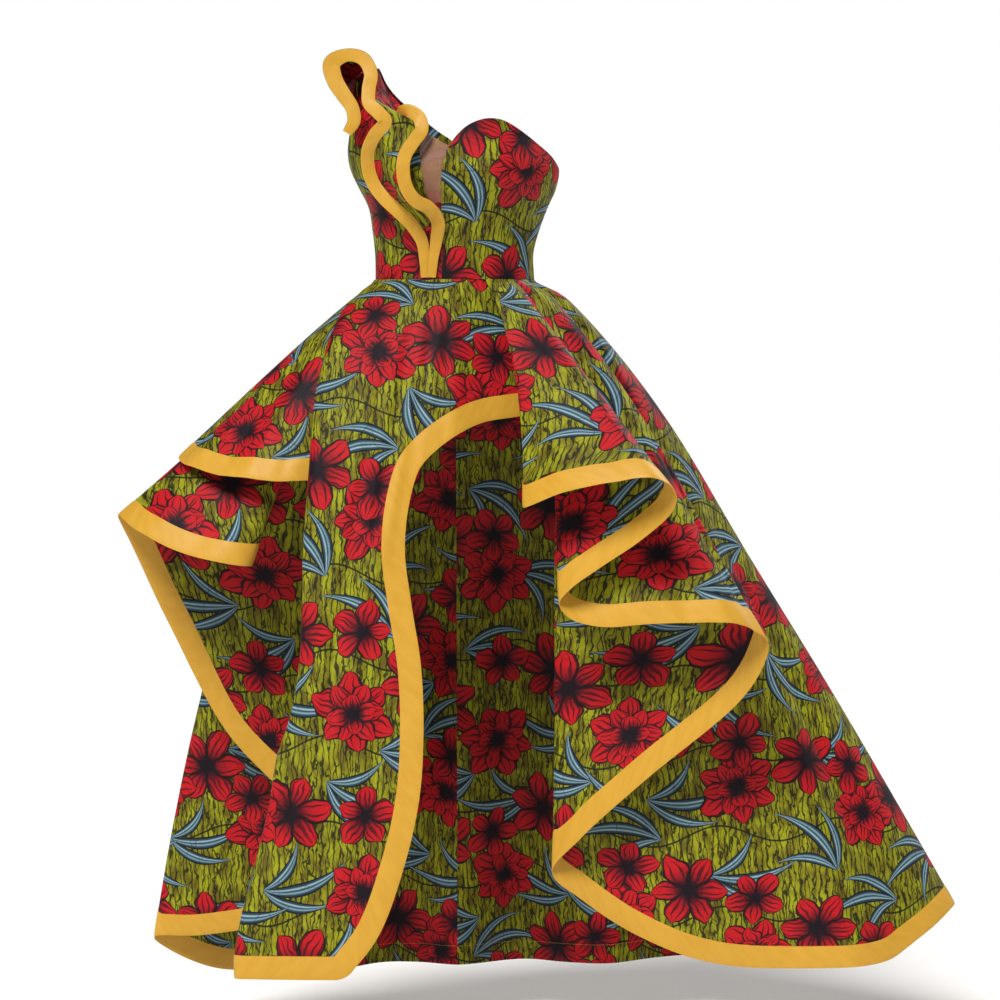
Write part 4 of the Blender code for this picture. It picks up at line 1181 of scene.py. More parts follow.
# %% Ruffle bindings
RUFFLE = [
    # outer binding x, y, z,   inner binding x, y, z,   width as a share of RUFFLE_BAND
    (-0.0475, -0.098, 0.002, -0.0365, -0.101, 0.002, 0.60),
    (-0.049, -0.099, 0.033, -0.033, -0.103, 0.037, 0.74),
    (-0.052, -0.101, 0.059, -0.029, -0.107, 0.062, 0.90),
    (-0.067, -0.106, 0.085, -0.026, -0.120, 0.090, 1.00),
    (-0.091, -0.112, 0.109, -0.040, -0.135, 0.113, 1.00),
    (-0.115, -0.108, 0.132, -0.063, -0.145, 0.126, 1.00),
    (-0.132, -0.104, 0.156, -0.077, -0.150, 0.147, 1.00),
    (-0.140, -0.106, 0.184, -0.082, -0.151, 0.174, 1.00),
    (-0.139, -0.114, 0.208, -0.079, -0.148, 0.197, 1.00),
    (-0.128, -0.126, 0.231, -0.066, -0.142, 0.219, 1.00),
    (-0.111, -0.136, 0.253, -0.052, -0.134, 0.241, 1.00),
    (-0.123, -0.134, 0.268, -0.057, -0.126, 0.260, 1.00),
    (-0.137, -0.127, 0.283, -0.075, -0.117, 0.271, 1.00),
    (-0.138, -0.118, 0.306, -0.094, -0.098, 0.268, 1.00),
    (-0.135, -0.108, 0.332, -0.108, -0.071, 0.297, 1.00),
    (-0.148, -0.100, 0.356, -0.118, -0.047, 0.323, 1.00),
    (-0.174, -0.096, 0.362, -0.130, -0.026, 0.339, 0.95),
    (-0.198, -0.095, 0.349, -0.150, -0.018, 0.342, 1.25),
    (-0.194, -0.098, 0.323, -0.159, -0.021, 0.330, 1.20),
    (-0.180, -0.103, 0.299, -0.161, -0.030, 0.314, 1.10),
    (-0.165, -0.108, 0.276, -0.160, -0.038, 0.296, 1.00),
    (-0.162, -0.111, 0.255, -0.160, -0.045, 0.274, 0.95),
    (-0.173, -0.112, 0.235, -0.160, -0.052, 0.250, 0.70),
]
FLUTE_ROW = 13          # last row whose inner edge is bound
RUFFLE_STEPS = 8        # grid rows between two rows of the table
RUFFLE_BAND_COLUMNS = 15   # grid columns across a binding


def ribbon_side(path):
    """Unit vectors across a path as seen from the front, to the right of its direction."""
    along = np.gradient(path, axis=0)
    return unit(np.stack([along[:, 2], 0 * along[:, 0], -along[:, 0]], axis=1))


table = np.array(RUFFLE)
knots = path_knots(table[:, :3])
fine = np.interp(np.linspace(0, len(knots) - 1, (len(knots) - 1) * RUFFLE_STEPS + 1),
                 np.arange(len(knots)), knots)
outer = spline(knots, table[:, :3], fine)
inner = spline(knots, table[:, 3:6], fine)
half_band = RUFFLE_BAND / 2 * spline(knots, table[:, 6], fine)[:, None, None]
across = np.linspace(-1.0, 1.0, RUFFLE_BAND_COLUMNS)[None, :, None]
bound = RUFFLE_STEPS * FLUTE_ROW + 1

outer_band = outer[:, None] + ribbon_side(outer)[:, None] * across * half_band
inner_band = (inner[:bound, None]
              + ribbon_side(inner[:bound])[:, None] * across * half_band[:bound])
make_binding_piece("binding_ruffle_outer", "ruffle_binding_outer", outer_band,
                   grid_normals(outer_band), "last")
make_binding_piece("binding_ruffle_inner", "ruffle_binding_inner", inner_band,
                   grid_normals(inner_band), "first")

# %% [markdown]
# ### The ruffle's print
# The print between the bindings is a curved sheet: each cross line is a parabola that swells
# forward where the ruffle ripples and runs back behind its binding where it flutes.  A loft
# between two curve objects would be straight across, so the parabola's middle point is placed here.

# %% Ruffle print
RUFFLE_SWELL = (0.0, -0.008, 0.0)   # how far the print swells forward between the bindings
FLUTE_BACK = 0.020      # how far the flute's cloth runs back behind its binding before it turns
FLUTE_STARTS = 11       # row from which the print turns into the flute
FLUTE_GROWS = 3         # rows in which it does
FIRST_PRINT_ROW = 2     # below this row the two bindings meet
RUFFLE_COLUMNS = 25     # grid columns across the print

first = RUFFLE_STEPS * FIRST_PRINT_ROW + RUFFLE_STEPS // 2
start, end = outer_band[first:, -1], inner[first:].copy()
end[:bound - first] = inner_band[first:, 0]
rows = np.arange(first, len(fine)) / RUFFLE_STEPS
fluted = np.clip((rows - FLUTE_STARTS) / FLUTE_GROWS, 0, 1)[:, None]
swell = (start + end) / 2 + np.array(RUFFLE_SWELL)
turned = start + np.array([0.0, FLUTE_BACK, 0.0])
control = swell + (turned - swell) * fluted
share = np.linspace(0.0, 1.0, RUFFLE_COLUMNS)[None, :, None]
points = ((1 - share) ** 2 * start[:, None] + 2 * share * (1 - share) * control[:, None]
          + share**2 * end[:, None])
normals = grid_normals(points)
pattern = lay_flat(points, 0.0)
ruffle = make_shell("neckline_ruffle_print", points, normals, CLOTH / 2, pattern, wax_print)
hand_in(ruffle, "neckline_ruffle")

# %% [markdown]
# ## The skirt layers
# A circular skirt hangs from the waist in a cone, and its extra length at the hem has to fold.
# The overskirt's one long free edge folds into waterfalls at both front openings, where the inside
# of the cloth turns outward.  Simulated cloth would fold where it liked, so the free edge is a
# table of points, and every cross line runs from the waist to it: down the cone at
# first, then out along its fold.  The hip flounce is a shorter layer made in the same way.

# %% Skirt edges
OVERSKIRT = [
    # fold, bearing at the waist, x, y, z, power with which the fold dies out upward
    ("left_return", 23.0, 0.124, -0.235, -0.352, 1.5),
    ("left_front", 25.0, 0.111, -0.262, -0.366, 1.5),
    ("layer1_a", 29.0, 0.169, -0.305, -0.343, 1.5),
    ("layer1_b", 33.0, 0.247, -0.340, -0.323, 1.5),
    ("layer1_c", 36.0, 0.302, -0.353, -0.316, 1.5),
    ("fold1_before", 38.5, 0.336, -0.350, -0.324, 1.5),
    ("left_fold1", 40.5, 0.352, -0.334, -0.346, 1.5),
    ("fold1_after", 42.0, 0.344, -0.312, -0.373, 1.4),
    ("layer2_a", 44.0, 0.296, -0.285, -0.418, 1.2),
    ("layer2_b", 46.0, 0.230, -0.262, -0.464, 1.0),
    ("valley1_before", 47.5, 0.186, -0.248, -0.497, 0.95),
    ("left_valley1", 49.0, 0.169, -0.234, -0.521, 0.95),
    ("valley1_after", 50.5, 0.185, -0.226, -0.544, 0.95),
    ("layer3_a", 52.0, 0.235, -0.226, -0.558, 1.1),
    ("layer3_b", 54.5, 0.329, -0.240, -0.552, 1.4),
    ("layer3_c", 57.0, 0.416, -0.240, -0.550, 1.5),
    ("fold2_before", 59.0, 0.473, -0.226, -0.559, 1.5),
    ("left_fold2", 61.0, 0.504, -0.203, -0.584, 1.5),
    ("fold2_after", 62.5, 0.500, -0.182, -0.619, 1.4),
    ("layer4_a", 64.0, 0.464, -0.160, -0.680, 1.2),
    ("layer4_b", 66.5, 0.310, -0.120, -0.815, 1.0),
    ("layer4_c", 69.0, 0.205, -0.090, -0.914, 0.9),
    ("left_valley2", 71.5, 0.160, -0.055, -0.975, 0.9),
    ("valley2_after", 74.0, 0.206, -0.040, -1.018, 0.95),
    ("layer5_a", 77.0, 0.300, -0.030, -1.080, 1.2),
    ("layer5_b", 81.0, 0.430, -0.028, -1.127, 1.5),
    ("layer5_c", 85.5, 0.602, -0.010, -1.138, 1.5),
    ("layer5_d", 90.0, 0.721, 0.030, -1.130, 1.5),
    ("left_curl", 94.0, 0.778, 0.080, -1.098, 1.5),
    ("left_corner", 99.0, 0.846, 0.170, -1.053, 1.5),
    ("back_a", 108.0, 0.805, 0.260, -1.090, 1.5),
    ("back_b", 118.0, 0.680, 0.375, -1.140, 1.5),
    ("back_c", 130.0, 0.540, 0.345, -1.165, 1.5),
    ("back_d", 142.0, 0.400, 0.430, -1.178, 1.5),
    ("back_e", 155.0, 0.260, 0.365, -1.184, 1.5),
    ("back_f", 168.0, 0.120, 0.440, -1.186, 1.5),
    ("centre_back", 180.0, 0.000, 0.380, -1.188, 1.5),
    ("back_g", 192.0, -0.120, 0.430, -1.190, 1.5),
    ("back_h", 205.0, -0.235, 0.345, -1.192, 1.5),
    ("back_i", 220.0, -0.340, 0.330, -1.192, 1.5),
    ("back_j", 234.0, -0.432, 0.262, -1.172, 1.5),
    ("right_corner", 248.0, -0.517, 0.215, -1.117, 1.5),
    ("right_layer3_a", 254.0, -0.435, 0.188, -1.110, 1.5),
    ("right_layer3_b", 259.0, -0.315, 0.166, -1.087, 1.3),
    ("right_valley", 263.0, -0.150, 0.112, -1.020, 1.2),
    ("right_layer2_a", 266.0, -0.256, 0.066, -0.885, 1.3),
    ("right_layer2_b", 269.0, -0.381, 0.058, -0.752, 1.5),
    ("right_layer2_c", 272.0, -0.472, 0.044, -0.578, 1.5),
    ("fold3_before", 274.5, -0.535, 0.025, -0.440, 1.5),
    ("right_fold", 277.0, -0.556, -0.004, -0.389, 1.5),
    ("right_layer1_a", 281.0, -0.521, -0.080, -0.408, 1.5),
    ("right_layer1_b", 287.0, -0.457, -0.128, -0.438, 1.5),
    ("right_layer1_c", 295.0, -0.374, -0.160, -0.459, 1.5),
    ("right_front", 302.0, -0.330, -0.145, -0.465, 1.5),
    ("right_return", 308.0, -0.345, -0.060, -0.450, 1.5),
]
FLOUNCE = [
    # place, bearing at the waist, x, y, z, power
    ("centre_back", 180.0, 0.000, 0.250, -0.300, 1.5),
    ("back_a", 193.0, -0.085, 0.262, -0.302, 1.5),
    ("back_b", 207.0, -0.175, 0.236, -0.298, 1.5),
    ("back_c", 222.0, -0.265, 0.206, -0.298, 1.5),
    ("back_d", 238.0, -0.350, 0.150, -0.292, 1.5),
    ("hip_a", 254.0, -0.422, 0.080, -0.290, 1.5),
    ("hip_b", 268.0, -0.454, -0.010, -0.291, 1.5),
    ("front_a", 279.0, -0.440, -0.080, -0.302, 1.5),
    ("front_b", 289.0, -0.395, -0.135, -0.314, 1.5),
    ("front_c", 298.0, -0.345, -0.170, -0.321, 1.5),
    ("front_d", 305.0, -0.287, -0.186, -0.326, 1.5),
    ("front_e", 311.0, -0.222, -0.176, -0.325, 1.5),
]
FLOUNCE_LIFT = 0.0024   # how far the flounce lies outside the overskirt at the waist

for layer, table in (("overskirt", OVERSKIRT), ("flounce", FLOUNCE)):
    edge = np.array([row[2:5] for row in table])
    print(layer, "free edge", round(length_along(edge)[-1], 2), "m")

# %% [markdown]
# ### From the edge to a surface
# The layer without its folds is a cone with an oval section.  A point of the folded layer is that
# cone's point, plus a share of the fold at the free edge below it, and a power makes the share die
# out toward the waist.  The left side is also held out by gathers in the waist seam.

# %% Skirt surface
SETTLE = 0.012          # depth below the waist in which the cloth swings out from upright
FLARE_POWER = 0.8       # under 1, so that it spreads less and less on its way down
# Gathers on the wearer's left hold the cloth out by up to 24 mm.  They stand nearly full 16 mm
# below the waist, and have sunk away half a metre down.
GATHER_STAND = 0.024
GATHER_RISE = 0.016
GATHER_REACH = 0.36
SPREADS = {
    # layer: (side_left, side_right, front_left, front_right, back) per metre of flare
    "overskirt": (0.68, 0.60, 0.55, 0.42, 0.30),
    "flounce": (0.72, 0.72, 0.50, 0.50, 0.42),
}
SMALL = 1e-4            # a small step along the cloth, for measuring how it slopes
LAST_SHARE = 0.03       # share of the drop, at the free edge, on which the binding is measured
STEEPEST = 0.6          # a slanting edge widens the binding's share no more than this allows


def flare(depth):
    """How far cloth has spread at a depth below the waist, upright at first."""
    return np.maximum(np.sqrt(depth**2 + SETTLE**2) - SETTLE, 0.0) ** FLARE_POWER


def gather_stand(depth):
    """How far the waist's gathers hold the cloth out, most of it just below the waist."""
    return (GATHER_STAND * (1 - np.exp(-(depth / GATHER_RISE) ** 2))
            * np.exp(-(depth / GATHER_REACH) ** 4))


def cone(layer, bearing, depth, lift):
    """The unfolded layer's point, across and from front to back, at a depth below the waist."""
    side_left, side_right, front_left, front_right, back = SPREADS[layer]
    turn = np.radians(bearing)
    spread = flare(depth)
    left = np.sin(turn) > 0
    side = np.where(left, side_left, side_right)
    front = np.where(left, front_left, front_right)
    facing = np.cos(turn) > 0
    reach = np.where(facing, WAIST_FRONT, WAIST_BACK) + np.where(facing, front, back) * spread
    stand = gather_stand(depth) * np.maximum(np.sin(turn), 0.0)
    x = (WAIST_SIDE + lift + side * spread + stand) * np.sin(turn)
    y = -(reach + lift) * np.cos(turn)
    return np.stack([x, y], axis=-1)


def skirt_point(layer, table, place, drop, lift):
    """A point of a skirt layer: place runs along its free edge, drop from the waist to it."""
    values = np.array([row[1:] for row in table])
    row = spline(path_knots(values[:, 1:4]), values, place)
    bearing, edge, depth = row[..., 0], row[..., 1:3], -row[..., 3]
    fold = edge - cone(layer, bearing, depth, lift)
    share = np.maximum(drop, 0.0) ** row[..., 4]
    flat = cone(layer, bearing, depth * drop, lift) + fold * share[..., None]
    return np.concatenate([flat, (-depth * drop)[..., None]], axis=-1)


def surface_normals(layer, table, places, drops, lift):
    """Normals of the skirt surface, shared by neighbouring panels."""
    along = (skirt_point(layer, table, places + SMALL, drops, lift)
             - skirt_point(layer, table, places - SMALL, drops, lift))
    down = (skirt_point(layer, table, places, np.minimum(drops + SMALL, 1.0), lift)
            - skirt_point(layer, table, places, np.maximum(drops - SMALL, 0.0), lift))
    return unit(np.cross(along, down))


def band_share(layer, table, places, lift):
    """Share of the drop taken by the binding, so that it keeps its width square to the edge."""
    bottom = skirt_point(layer, table, places, np.ones_like(places), lift)
    above = skirt_point(layer, table, places, np.full_like(places, 1.0 - LAST_SHARE), lift)
    fall = bottom - above
    along = unit(np.gradient(bottom, axis=0))
    square = np.linalg.norm(np.cross(along, unit(fall)), axis=1)
    reach = np.linalg.norm(fall, axis=1) / LAST_SHARE
    return BAND / (reach * np.clip(square, STEEPEST, 1.0))


print("half a metre down, a flare has spread by", round(float(flare(0.5)), 3))

# %% [markdown]
# ### Soft creases
# The table gives the great folds.  Between them real cotton shows softer troughs and ridges that
# fan out from the waist, because the fibres were creased in wearing.  Each crease is one row here:
# where it lies along the edge, how wide it is, how high, and how it leans.  They are added along
# the normals, and are uneven on purpose.

# %% Creases
# Rows are counted along the free edge's table.  Height is positive outward.
OVERSKIRT_CREASES = [
    # row, half-width in rows, height, drop where it is fullest, lean in rows
    (2.1, 0.35, 0.0035, 0.75, 0.0), (3.2, 0.30, -0.0040, 0.70, 0.1),
    (4.3, 0.35, 0.0030, 0.80, -0.1), (13.6, 0.30, 0.0060, 0.80, 0.1),
    (14.6, 0.30, -0.0070, 0.75, -0.1), (15.4, 0.25, 0.0060, 0.80, 0.0),
    (16.3, 0.25, -0.0050, 0.70, 0.1), (24.6, 0.35, 0.0080, 0.85, 0.0),
    (25.6, 0.35, -0.0100, 0.75, 0.2), (26.5, 0.30, 0.0090, 0.80, -0.1),
    (27.4, 0.30, -0.0080, 0.70, 0.1), (28.3, 0.30, 0.0060, 0.75, 0.0),
    (29.3, 0.30, -0.0050, 0.80, 0.1), (30.6, 0.30, 0.0090, 0.55, 0.1),
    (31.7, 0.25, -0.0085, 0.60, -0.1), (33.5, 0.30, 0.0085, 0.50, 0.1),
    (34.6, 0.25, -0.0075, 0.62, 0.0), (36.5, 0.30, 0.0090, 0.52, -0.1),
    (37.5, 0.25, -0.0080, 0.60, 0.1), (39.2, 0.30, 0.0090, 0.55, 0.0),
    (40.4, 0.25, -0.0070, 0.60, -0.1), (46.4, 0.30, 0.0040, 0.75, 0.0),
    (47.3, 0.25, -0.0040, 0.80, 0.1), (50.4, 0.30, 0.0035, 0.80, 0.0),
    (51.4, 0.30, -0.0045, 0.80, 0.0),
]
FLOUNCE_CREASES = [
    (0.8, 0.30, 0.0040, 0.70, 0.1), (1.9, 0.25, -0.0035, 0.80, 0.0),
    (3.1, 0.30, 0.0045, 0.70, 0.1), (4.3, 0.25, -0.0035, 0.80, -0.1),
    (5.4, 0.30, 0.0050, 0.75, 0.1), (6.5, 0.25, -0.0040, 0.80, 0.0),
    (7.4, 0.28, 0.0055, 0.75, 0.1), (8.3, 0.25, -0.0045, 0.80, -0.1),
    (9.2, 0.28, 0.0050, 0.75, 0.0), (10.1, 0.20, -0.0035, 0.85, 0.0),
]
QUIET_TOP = 0.10        # share of the drop below the waist that stays nearly smooth
CREASE_GROWS = 2.2      # power with which a crease grows down to where it is fullest
CREASE_SINKS = 0.45     # share of its height that it loses from there to the free edge
PAST_EDGE = 1.02        # drop, just past the edge, at which that share would be reached


def crease_height(creases, rows, drops):
    """How far the soft creases move the cloth outward."""
    rise = 0.0 * rows * drops
    for row, half_width, height, fullest, lean in creases:
        beside = (rows - row - lean * (drops - fullest)) / half_width
        along = np.clip(drops / fullest, 0.0, 1.0) ** CREASE_GROWS
        after = np.clip((drops - fullest) / (PAST_EDGE - fullest), 0.0, 1.0)
        rise = rise + height * np.exp(-beside**2) * along * (1.0 - CREASE_SINKS * after**2)
    return rise * np.clip(drops / QUIET_TOP, 0.0, 1.0)


print(len(OVERSKIRT_CREASES), "creases in the overskirt,", len(FLOUNCE_CREASES), "in the flounce")

# %% [markdown]
# ### Gores
# The grid is eight steps wide between two rows of the table.  A full flare is wider than printed
# cotton comes, so a panel is joined from gores, each cut on the straight grain.  Gores modelled as
# pieces of their own could gape at the folds, so the panel stays one surface, and only its print
# turns from gore to gore.  The seams lie on the great folds, where they hardly show, and the print
# stands upright on every layer.

# %% Gores
EDGE_STEPS = 8          # grid columns between two rows of a table
GORE_SEAMS = ["left_fold1", "left_valley1", "left_fold2", "left_valley2", "right_valley",
              "right_fold", "hip_a"]


def skirt_places(table, first, last, steps):
    """Places along a free edge, with the same number of steps between each two rows."""
    knots = path_knots([row[2:5] for row in table])
    names = [row[0] for row in table]
    index = np.linspace(names.index(first), names.index(last),
                        (names.index(last) - names.index(first)) * steps + 1)
    return np.interp(index, np.arange(len(knots)), knots), index


def gore_turns(table, first, last, points, pattern):
    """The turn of the print in each strip of a panel, gore by gore, and the gores' flat widths."""
    names = [row[0] for row in table]
    inner = [names.index(name) for name in GORE_SEAMS if name in names]
    start, end = names.index(first), names.index(last)
    cuts = [0] + [(row - start) * EDGE_STEPS for row in inner if start < row < end]
    cuts.append(points.shape[1] - 1)
    turns = np.ones(points.shape[1] - 1, complex)
    widths = []
    for left, right in zip(cuts[:-1], cuts[1:]):
        gore = np.s_[:, left:right + 1]
        turns[left:right] = upright_turn(points[gore], pattern[gore])
        laid = (pattern[gore] @ [1, 1j]) * turns[left]
        widths.append(round(float(np.ptp(laid.real)), 3))
    return turns, widths


print("gores meet at", GORE_SEAMS)

# %% [markdown]
# ### A panel and its binding
# One function makes a panel of either layer: it reads the folded surface, adds the creases and the
# valleys of the seams, cuts the flat pattern, and lays the binding on the same surface, so that
# the two can't drift apart.  The grid's rows lie closer near the waist, where the cloth curves
# most.  A panel runs on under its binding, as the raw edge does in a real one.  Along the back hem
# the binding lies on the outside alone, so the inside, which shows through the slit, is print down
# to the edge.

# %% Skirt pieces
DROP_ROWS = 60          # grid rows from the waist to the free edge of the overskirt
FLOUNCE_ROWS = 30       # and of the flounce
CROWDING = 1.35         # power that draws the grid's rows together near the waist
BAND_COLUMNS = 13       # grid columns across a binding
WAIST_START = 0.0003    # share of the drop at which a panel starts, just under the waist seam
SKIRT_DIP = (0.0014, 0.004)   # depth and half-width of the valley along a seam of the skirt
CONE_OPENING = 0.5      # turn of the flat pattern for each degree round the waist
UNDER_BAND = 0.45       # how far the panel runs on under its binding, as a share of its width
# Rows of the overskirt's edge over which the binding moves to the outside, and back again.
OUTSIDE_ROWS = [30.2, 31.4, 37.9, 38.8]


def make_skirt_piece(name, node, layer, table, ends, creases, lift, down_rows, seams):
    """A skirt panel, the binding on its free edge, and the binding's stitches."""
    places, index = skirt_places(table, *ends, EDGE_STEPS)
    share = band_share(layer, table, places, lift)
    outside = np.interp(index, OUTSIDE_ROWS, [0.0, 1.0, 1.0, 0.0])

    def cloth_at(tops, bottoms, way, stand=0.0):
        """Points and normals of the creased cloth, from one share of the drop to another."""
        drops = tops + (bottoms - tops) * way
        across = np.broadcast_to(places, drops.shape)
        base = skirt_point(layer, table, across, drops, lift)
        normals = surface_normals(layer, table, across, drops, lift)
        outward = -np.sign(np.sum(normals * (base * [1.0, 1.0, 0.0]), axis=-1).mean())
        rise = crease_height(creases, np.broadcast_to(index, drops.shape), drops)
        rise = rise + seam_dip(base, seams, *SKIRT_DIP) + stand
        return base - normals * (rise * outward)[..., None], normals

    way = np.linspace(0.0, 1.0, down_rows + 1)[:, None] ** CROWDING
    bare = share * (1 - UNDER_BAND) * (1 - outside)
    points, normals = cloth_at(WAIST_START, 1 - bare, way)
    bearing = np.interp(index, np.arange(len(table)), [row[1] for row in table])
    pattern = lay_flat(points, np.radians(bearing - bearing.mean()) * CONE_OPENING)
    turns, widths = gore_turns(table, *ends, points, pattern)
    piece = make_shell(name, points, normals, CLOTH / 2, pattern, wax_print, turns)
    hand_in(piece, node)
    print(name, "gores", widths)

    way = np.linspace(0.0, 1.0, BAND_COLUMNS)[:, None]
    stand = outside * (CLOTH / 2 + np.interp(way, *np.array(BAND_PROFILE).T))
    band, band_normals = cloth_at(1 - share, 1.0, way, stand)
    make_binding_piece("binding_" + name, node + "_binding", band.transpose(1, 0, 2),
                       band_normals.transpose(1, 0, 2), "first", outside[:, None] * CLOTH)


OVERSKIRT_PANELS = [
    # piece, node, first fold, last fold, seamed borders
    ("overskirt_print_front_left", "overskirt_front_l", "left_return", "back_a", ("last",)),
    ("overskirt_print_back_left", "overskirt_back_l", "back_a", "centre_back",
     ("first", "last")),
    ("overskirt_print_back_right", "overskirt_back_r", "centre_back", "right_corner",
     ("first", "last")),
    ("overskirt_print_front_right", "overskirt_front_r", "right_corner", "right_return",
     ("first",)),
]
for name, node, first, last, seams in OVERSKIRT_PANELS:
    make_skirt_piece(name, node, "overskirt", OVERSKIRT, (first, last), OVERSKIRT_CREASES, 0.0,
                     DROP_ROWS, seams)
make_skirt_piece("hip_flounce_print", "hip_flounce", "flounce", FLOUNCE,
                 ("centre_back", "front_e"), FLOUNCE_CREASES, FLOUNCE_LIFT, FLOUNCE_ROWS, ())

# %% [markdown]
# ## The long front panel
# The front panel hangs from the waist over the wearer's right leg.  Its outer edge is turned back,
# and its bound edge sweeps down from under the overskirt and along the slit.  It hangs nearly
# flat, so its surface is a depth for each place across and down: an upright ellipse that widens
# with the hips and recedes toward the slit.

# %% Front panel surface
# How far the panel hangs in front of the waist's oval, at two places across: over the wearer's
# right leg it lies on the other layers, and toward the left it tucks under the overskirt.
FRONT_LIFT = ([-0.10, 0.05], [0.0066, -0.0026])
FRONT_REACH = (0.64, 2.2)   # how the oval grows forward with the flare, and how soon it stops
FRONT_WIDTH = (1.3, 1.6)    # and sideways
SLIT_RECEDES = 0.4      # slope with which the cloth falls back toward the slit
HIP_STANDS = (0.10, -0.08)  # slope with which it stands out on the hip, and the X it starts at
RAMP = 0.05             # depth below the waist in which both slopes grow


def front_depth(x, z):
    """Y of the front panel, which hangs in front of the hip and recedes toward the slit."""
    spread = flare(np.abs(z))
    ramp = np.clip(np.abs(z) / RAMP, 0, 1)
    lift = np.interp(x, *FRONT_LIFT)
    reach = WAIST_FRONT + lift + FRONT_REACH[0] * spread / (1 + FRONT_REACH[1] * spread)
    width = WAIST_SIDE + lift + FRONT_WIDTH[0] * spread / (1 + FRONT_WIDTH[1] * spread)
    bow = np.sqrt(np.maximum(1 - (x / width) ** 2, 0.0))
    recede = SLIT_RECEDES * ramp * np.maximum(x, 0.0)
    stand = HIP_STANDS[0] * ramp * np.maximum(HIP_STANDS[1] - x, 0.0)
    return -reach * bow + recede - stand


print("half a metre down, the panel hangs", -round(float(front_depth(-0.2, -0.5)), 3), "m forward")

# %% [markdown]
# ### Hanging folds
# Cloth that hangs from a gathered edge falls in soft folds.  A wave texture could displace them,
# but they start and end at different heights, so each one is a row in a table: a ridge that
# follows its own slanting line, wanders a little and widens on its way down.

# %% Front panel folds
FRONT_ROLL = 0.012      # radius with which the turned edge rolls back
ROLL_GROWS = 0.08       # depth below the waist in which that roll grows
FRONT_FOLDS = [
    # x at the waist, x at the hem, half-width, height, depth where it starts, where it ends
    (-0.098, -0.300, 0.011, 0.0040, 0.03, 1.10), (-0.066, -0.262, 0.012, 0.0048, 0.02, 1.00),
    (-0.036, -0.225, 0.011, 0.0044, 0.03, 0.95), (-0.008, -0.150, 0.010, 0.0034, 0.02, 0.34),
    (0.022, -0.050, 0.010, 0.0026, 0.03, 0.24), (-0.050, -0.243, 0.007, 0.0030, 0.30, 0.85),
    (-0.110, -0.282, 0.008, 0.0030, 0.45, 1.05), (-0.020, -0.200, 0.009, 0.0034, 0.50, 1.10),
]
PANEL_LENGTH = 1.08     # depth of the hem, where the folds' second X is measured
SWING = (0.004, 9.0, 60.0)  # how far a fold wanders, its waves in radians a metre, its phase
WIDENS = (0.8, 0.7)     # a fold's width at the waist, and what it gains in each metre of depth
FOLD_GROWS, FOLD_SINKS = 0.10, 0.12   # depths in which a fold begins and ends


def fold_height(x, z):
    """How far the hanging folds stand out of the front panel."""
    rise = 0.0 * x
    depth = -z
    for top, hem, half_width, height, starts, ends in FRONT_FOLDS:
        middle = top + (hem - top) * depth / PANEL_LENGTH
        swing = SWING[0] * np.sin(depth * SWING[1] + hem * SWING[2])
        beside = (x - middle - swing) / (half_width * (WIDENS[0] + WIDENS[1] * depth))
        begin = np.clip((depth - starts) / FOLD_GROWS, 0.0, 1.0)
        finish = np.clip((ends - depth) / FOLD_SINKS, 0.0, 1.0)
        rise = rise + height * np.exp(-beside**2) * begin * finish
    return rise


def front_points(x, z, edge_x):
    """Points of the front panel at X and Z, rolled back close to its turned edge."""
    room = np.clip(FRONT_ROLL - (x - edge_x), 0, FRONT_ROLL)
    roll = FRONT_ROLL - np.sqrt(FRONT_ROLL**2 - room**2)
    roll = roll * np.clip(np.abs(z) / ROLL_GROWS, 0, 1)
    return np.stack([x, front_depth(x, z) + roll - fold_height(x, z), z], axis=-1)


def front_normals(x, z, edge_x):
    """Normals of the front panel's surface, shared by the panel and its binding."""
    over = front_points(x + SMALL, z, edge_x) - front_points(x - SMALL, z, edge_x)
    down = front_points(x, z + SMALL, edge_x) - front_points(x, z - SMALL, edge_x)
    return unit(np.cross(over, down))


print(len(FRONT_FOLDS), "folds in the front panel")

# %% [markdown]
# ### Front panel and its binding
# The binding follows the bound edge, turns the lower corner and runs along the hem.  At the corner
# the strip fans round, as a dressmaker eases it, instead of being mitred.

# %% Front panel pieces
FRONT_PANEL = [
    # turned edge x, z,   bound edge x, z
    (-0.1270, -0.0008, 0.0850, -0.0008), (-0.1500, -0.0180, 0.0960, -0.0280),
    (-0.1820, -0.0510, 0.1100, -0.0750), (-0.2000, -0.0920, 0.1200, -0.1300),
    (-0.2130, -0.1400, 0.1250, -0.1830), (-0.2210, -0.1800, 0.0850, -0.1880),
    (-0.2260, -0.2200, 0.0420, -0.1950), (-0.2290, -0.2600, 0.0020, -0.2110),
    (-0.2310, -0.3000, -0.0460, -0.2430), (-0.2350, -0.3500, -0.0850, -0.2850),
    (-0.2400, -0.4300, -0.1060, -0.3500), (-0.2410, -0.5200, -0.1140, -0.4350),
    (-0.2450, -0.6100, -0.1030, -0.5250), (-0.2570, -0.6900, -0.0880, -0.6200),
    (-0.2810, -0.7650, -0.0840, -0.7200), (-0.2930, -0.8400, -0.0900, -0.8200),
    (-0.3150, -0.9300, -0.1120, -0.9200), (-0.3380, -1.0200, -0.1500, -1.0250),
    (-0.3480, -1.0770, -0.1880, -1.0760),
]
BOUND_ROW = 4           # first row whose end is bound
# Grid rows between two rows of the table, above the binding and along it.
UPPER_STEPS, LOWER_STEPS = 4, 6
# Shares across the panel: close together where the turned edge rolls, then even.
ROLL_SHARES = [0.0, 0.01, 0.02, 0.035, 0.05, 0.07]
EVEN_SHARES = np.linspace(0.10, 1.0, 60)
CORNER_STEPS = 12       # steps in which the binding fans round the corner
UNDER_EDGE = 0.0004     # how far the band's inner edge lies inside the panel's edge

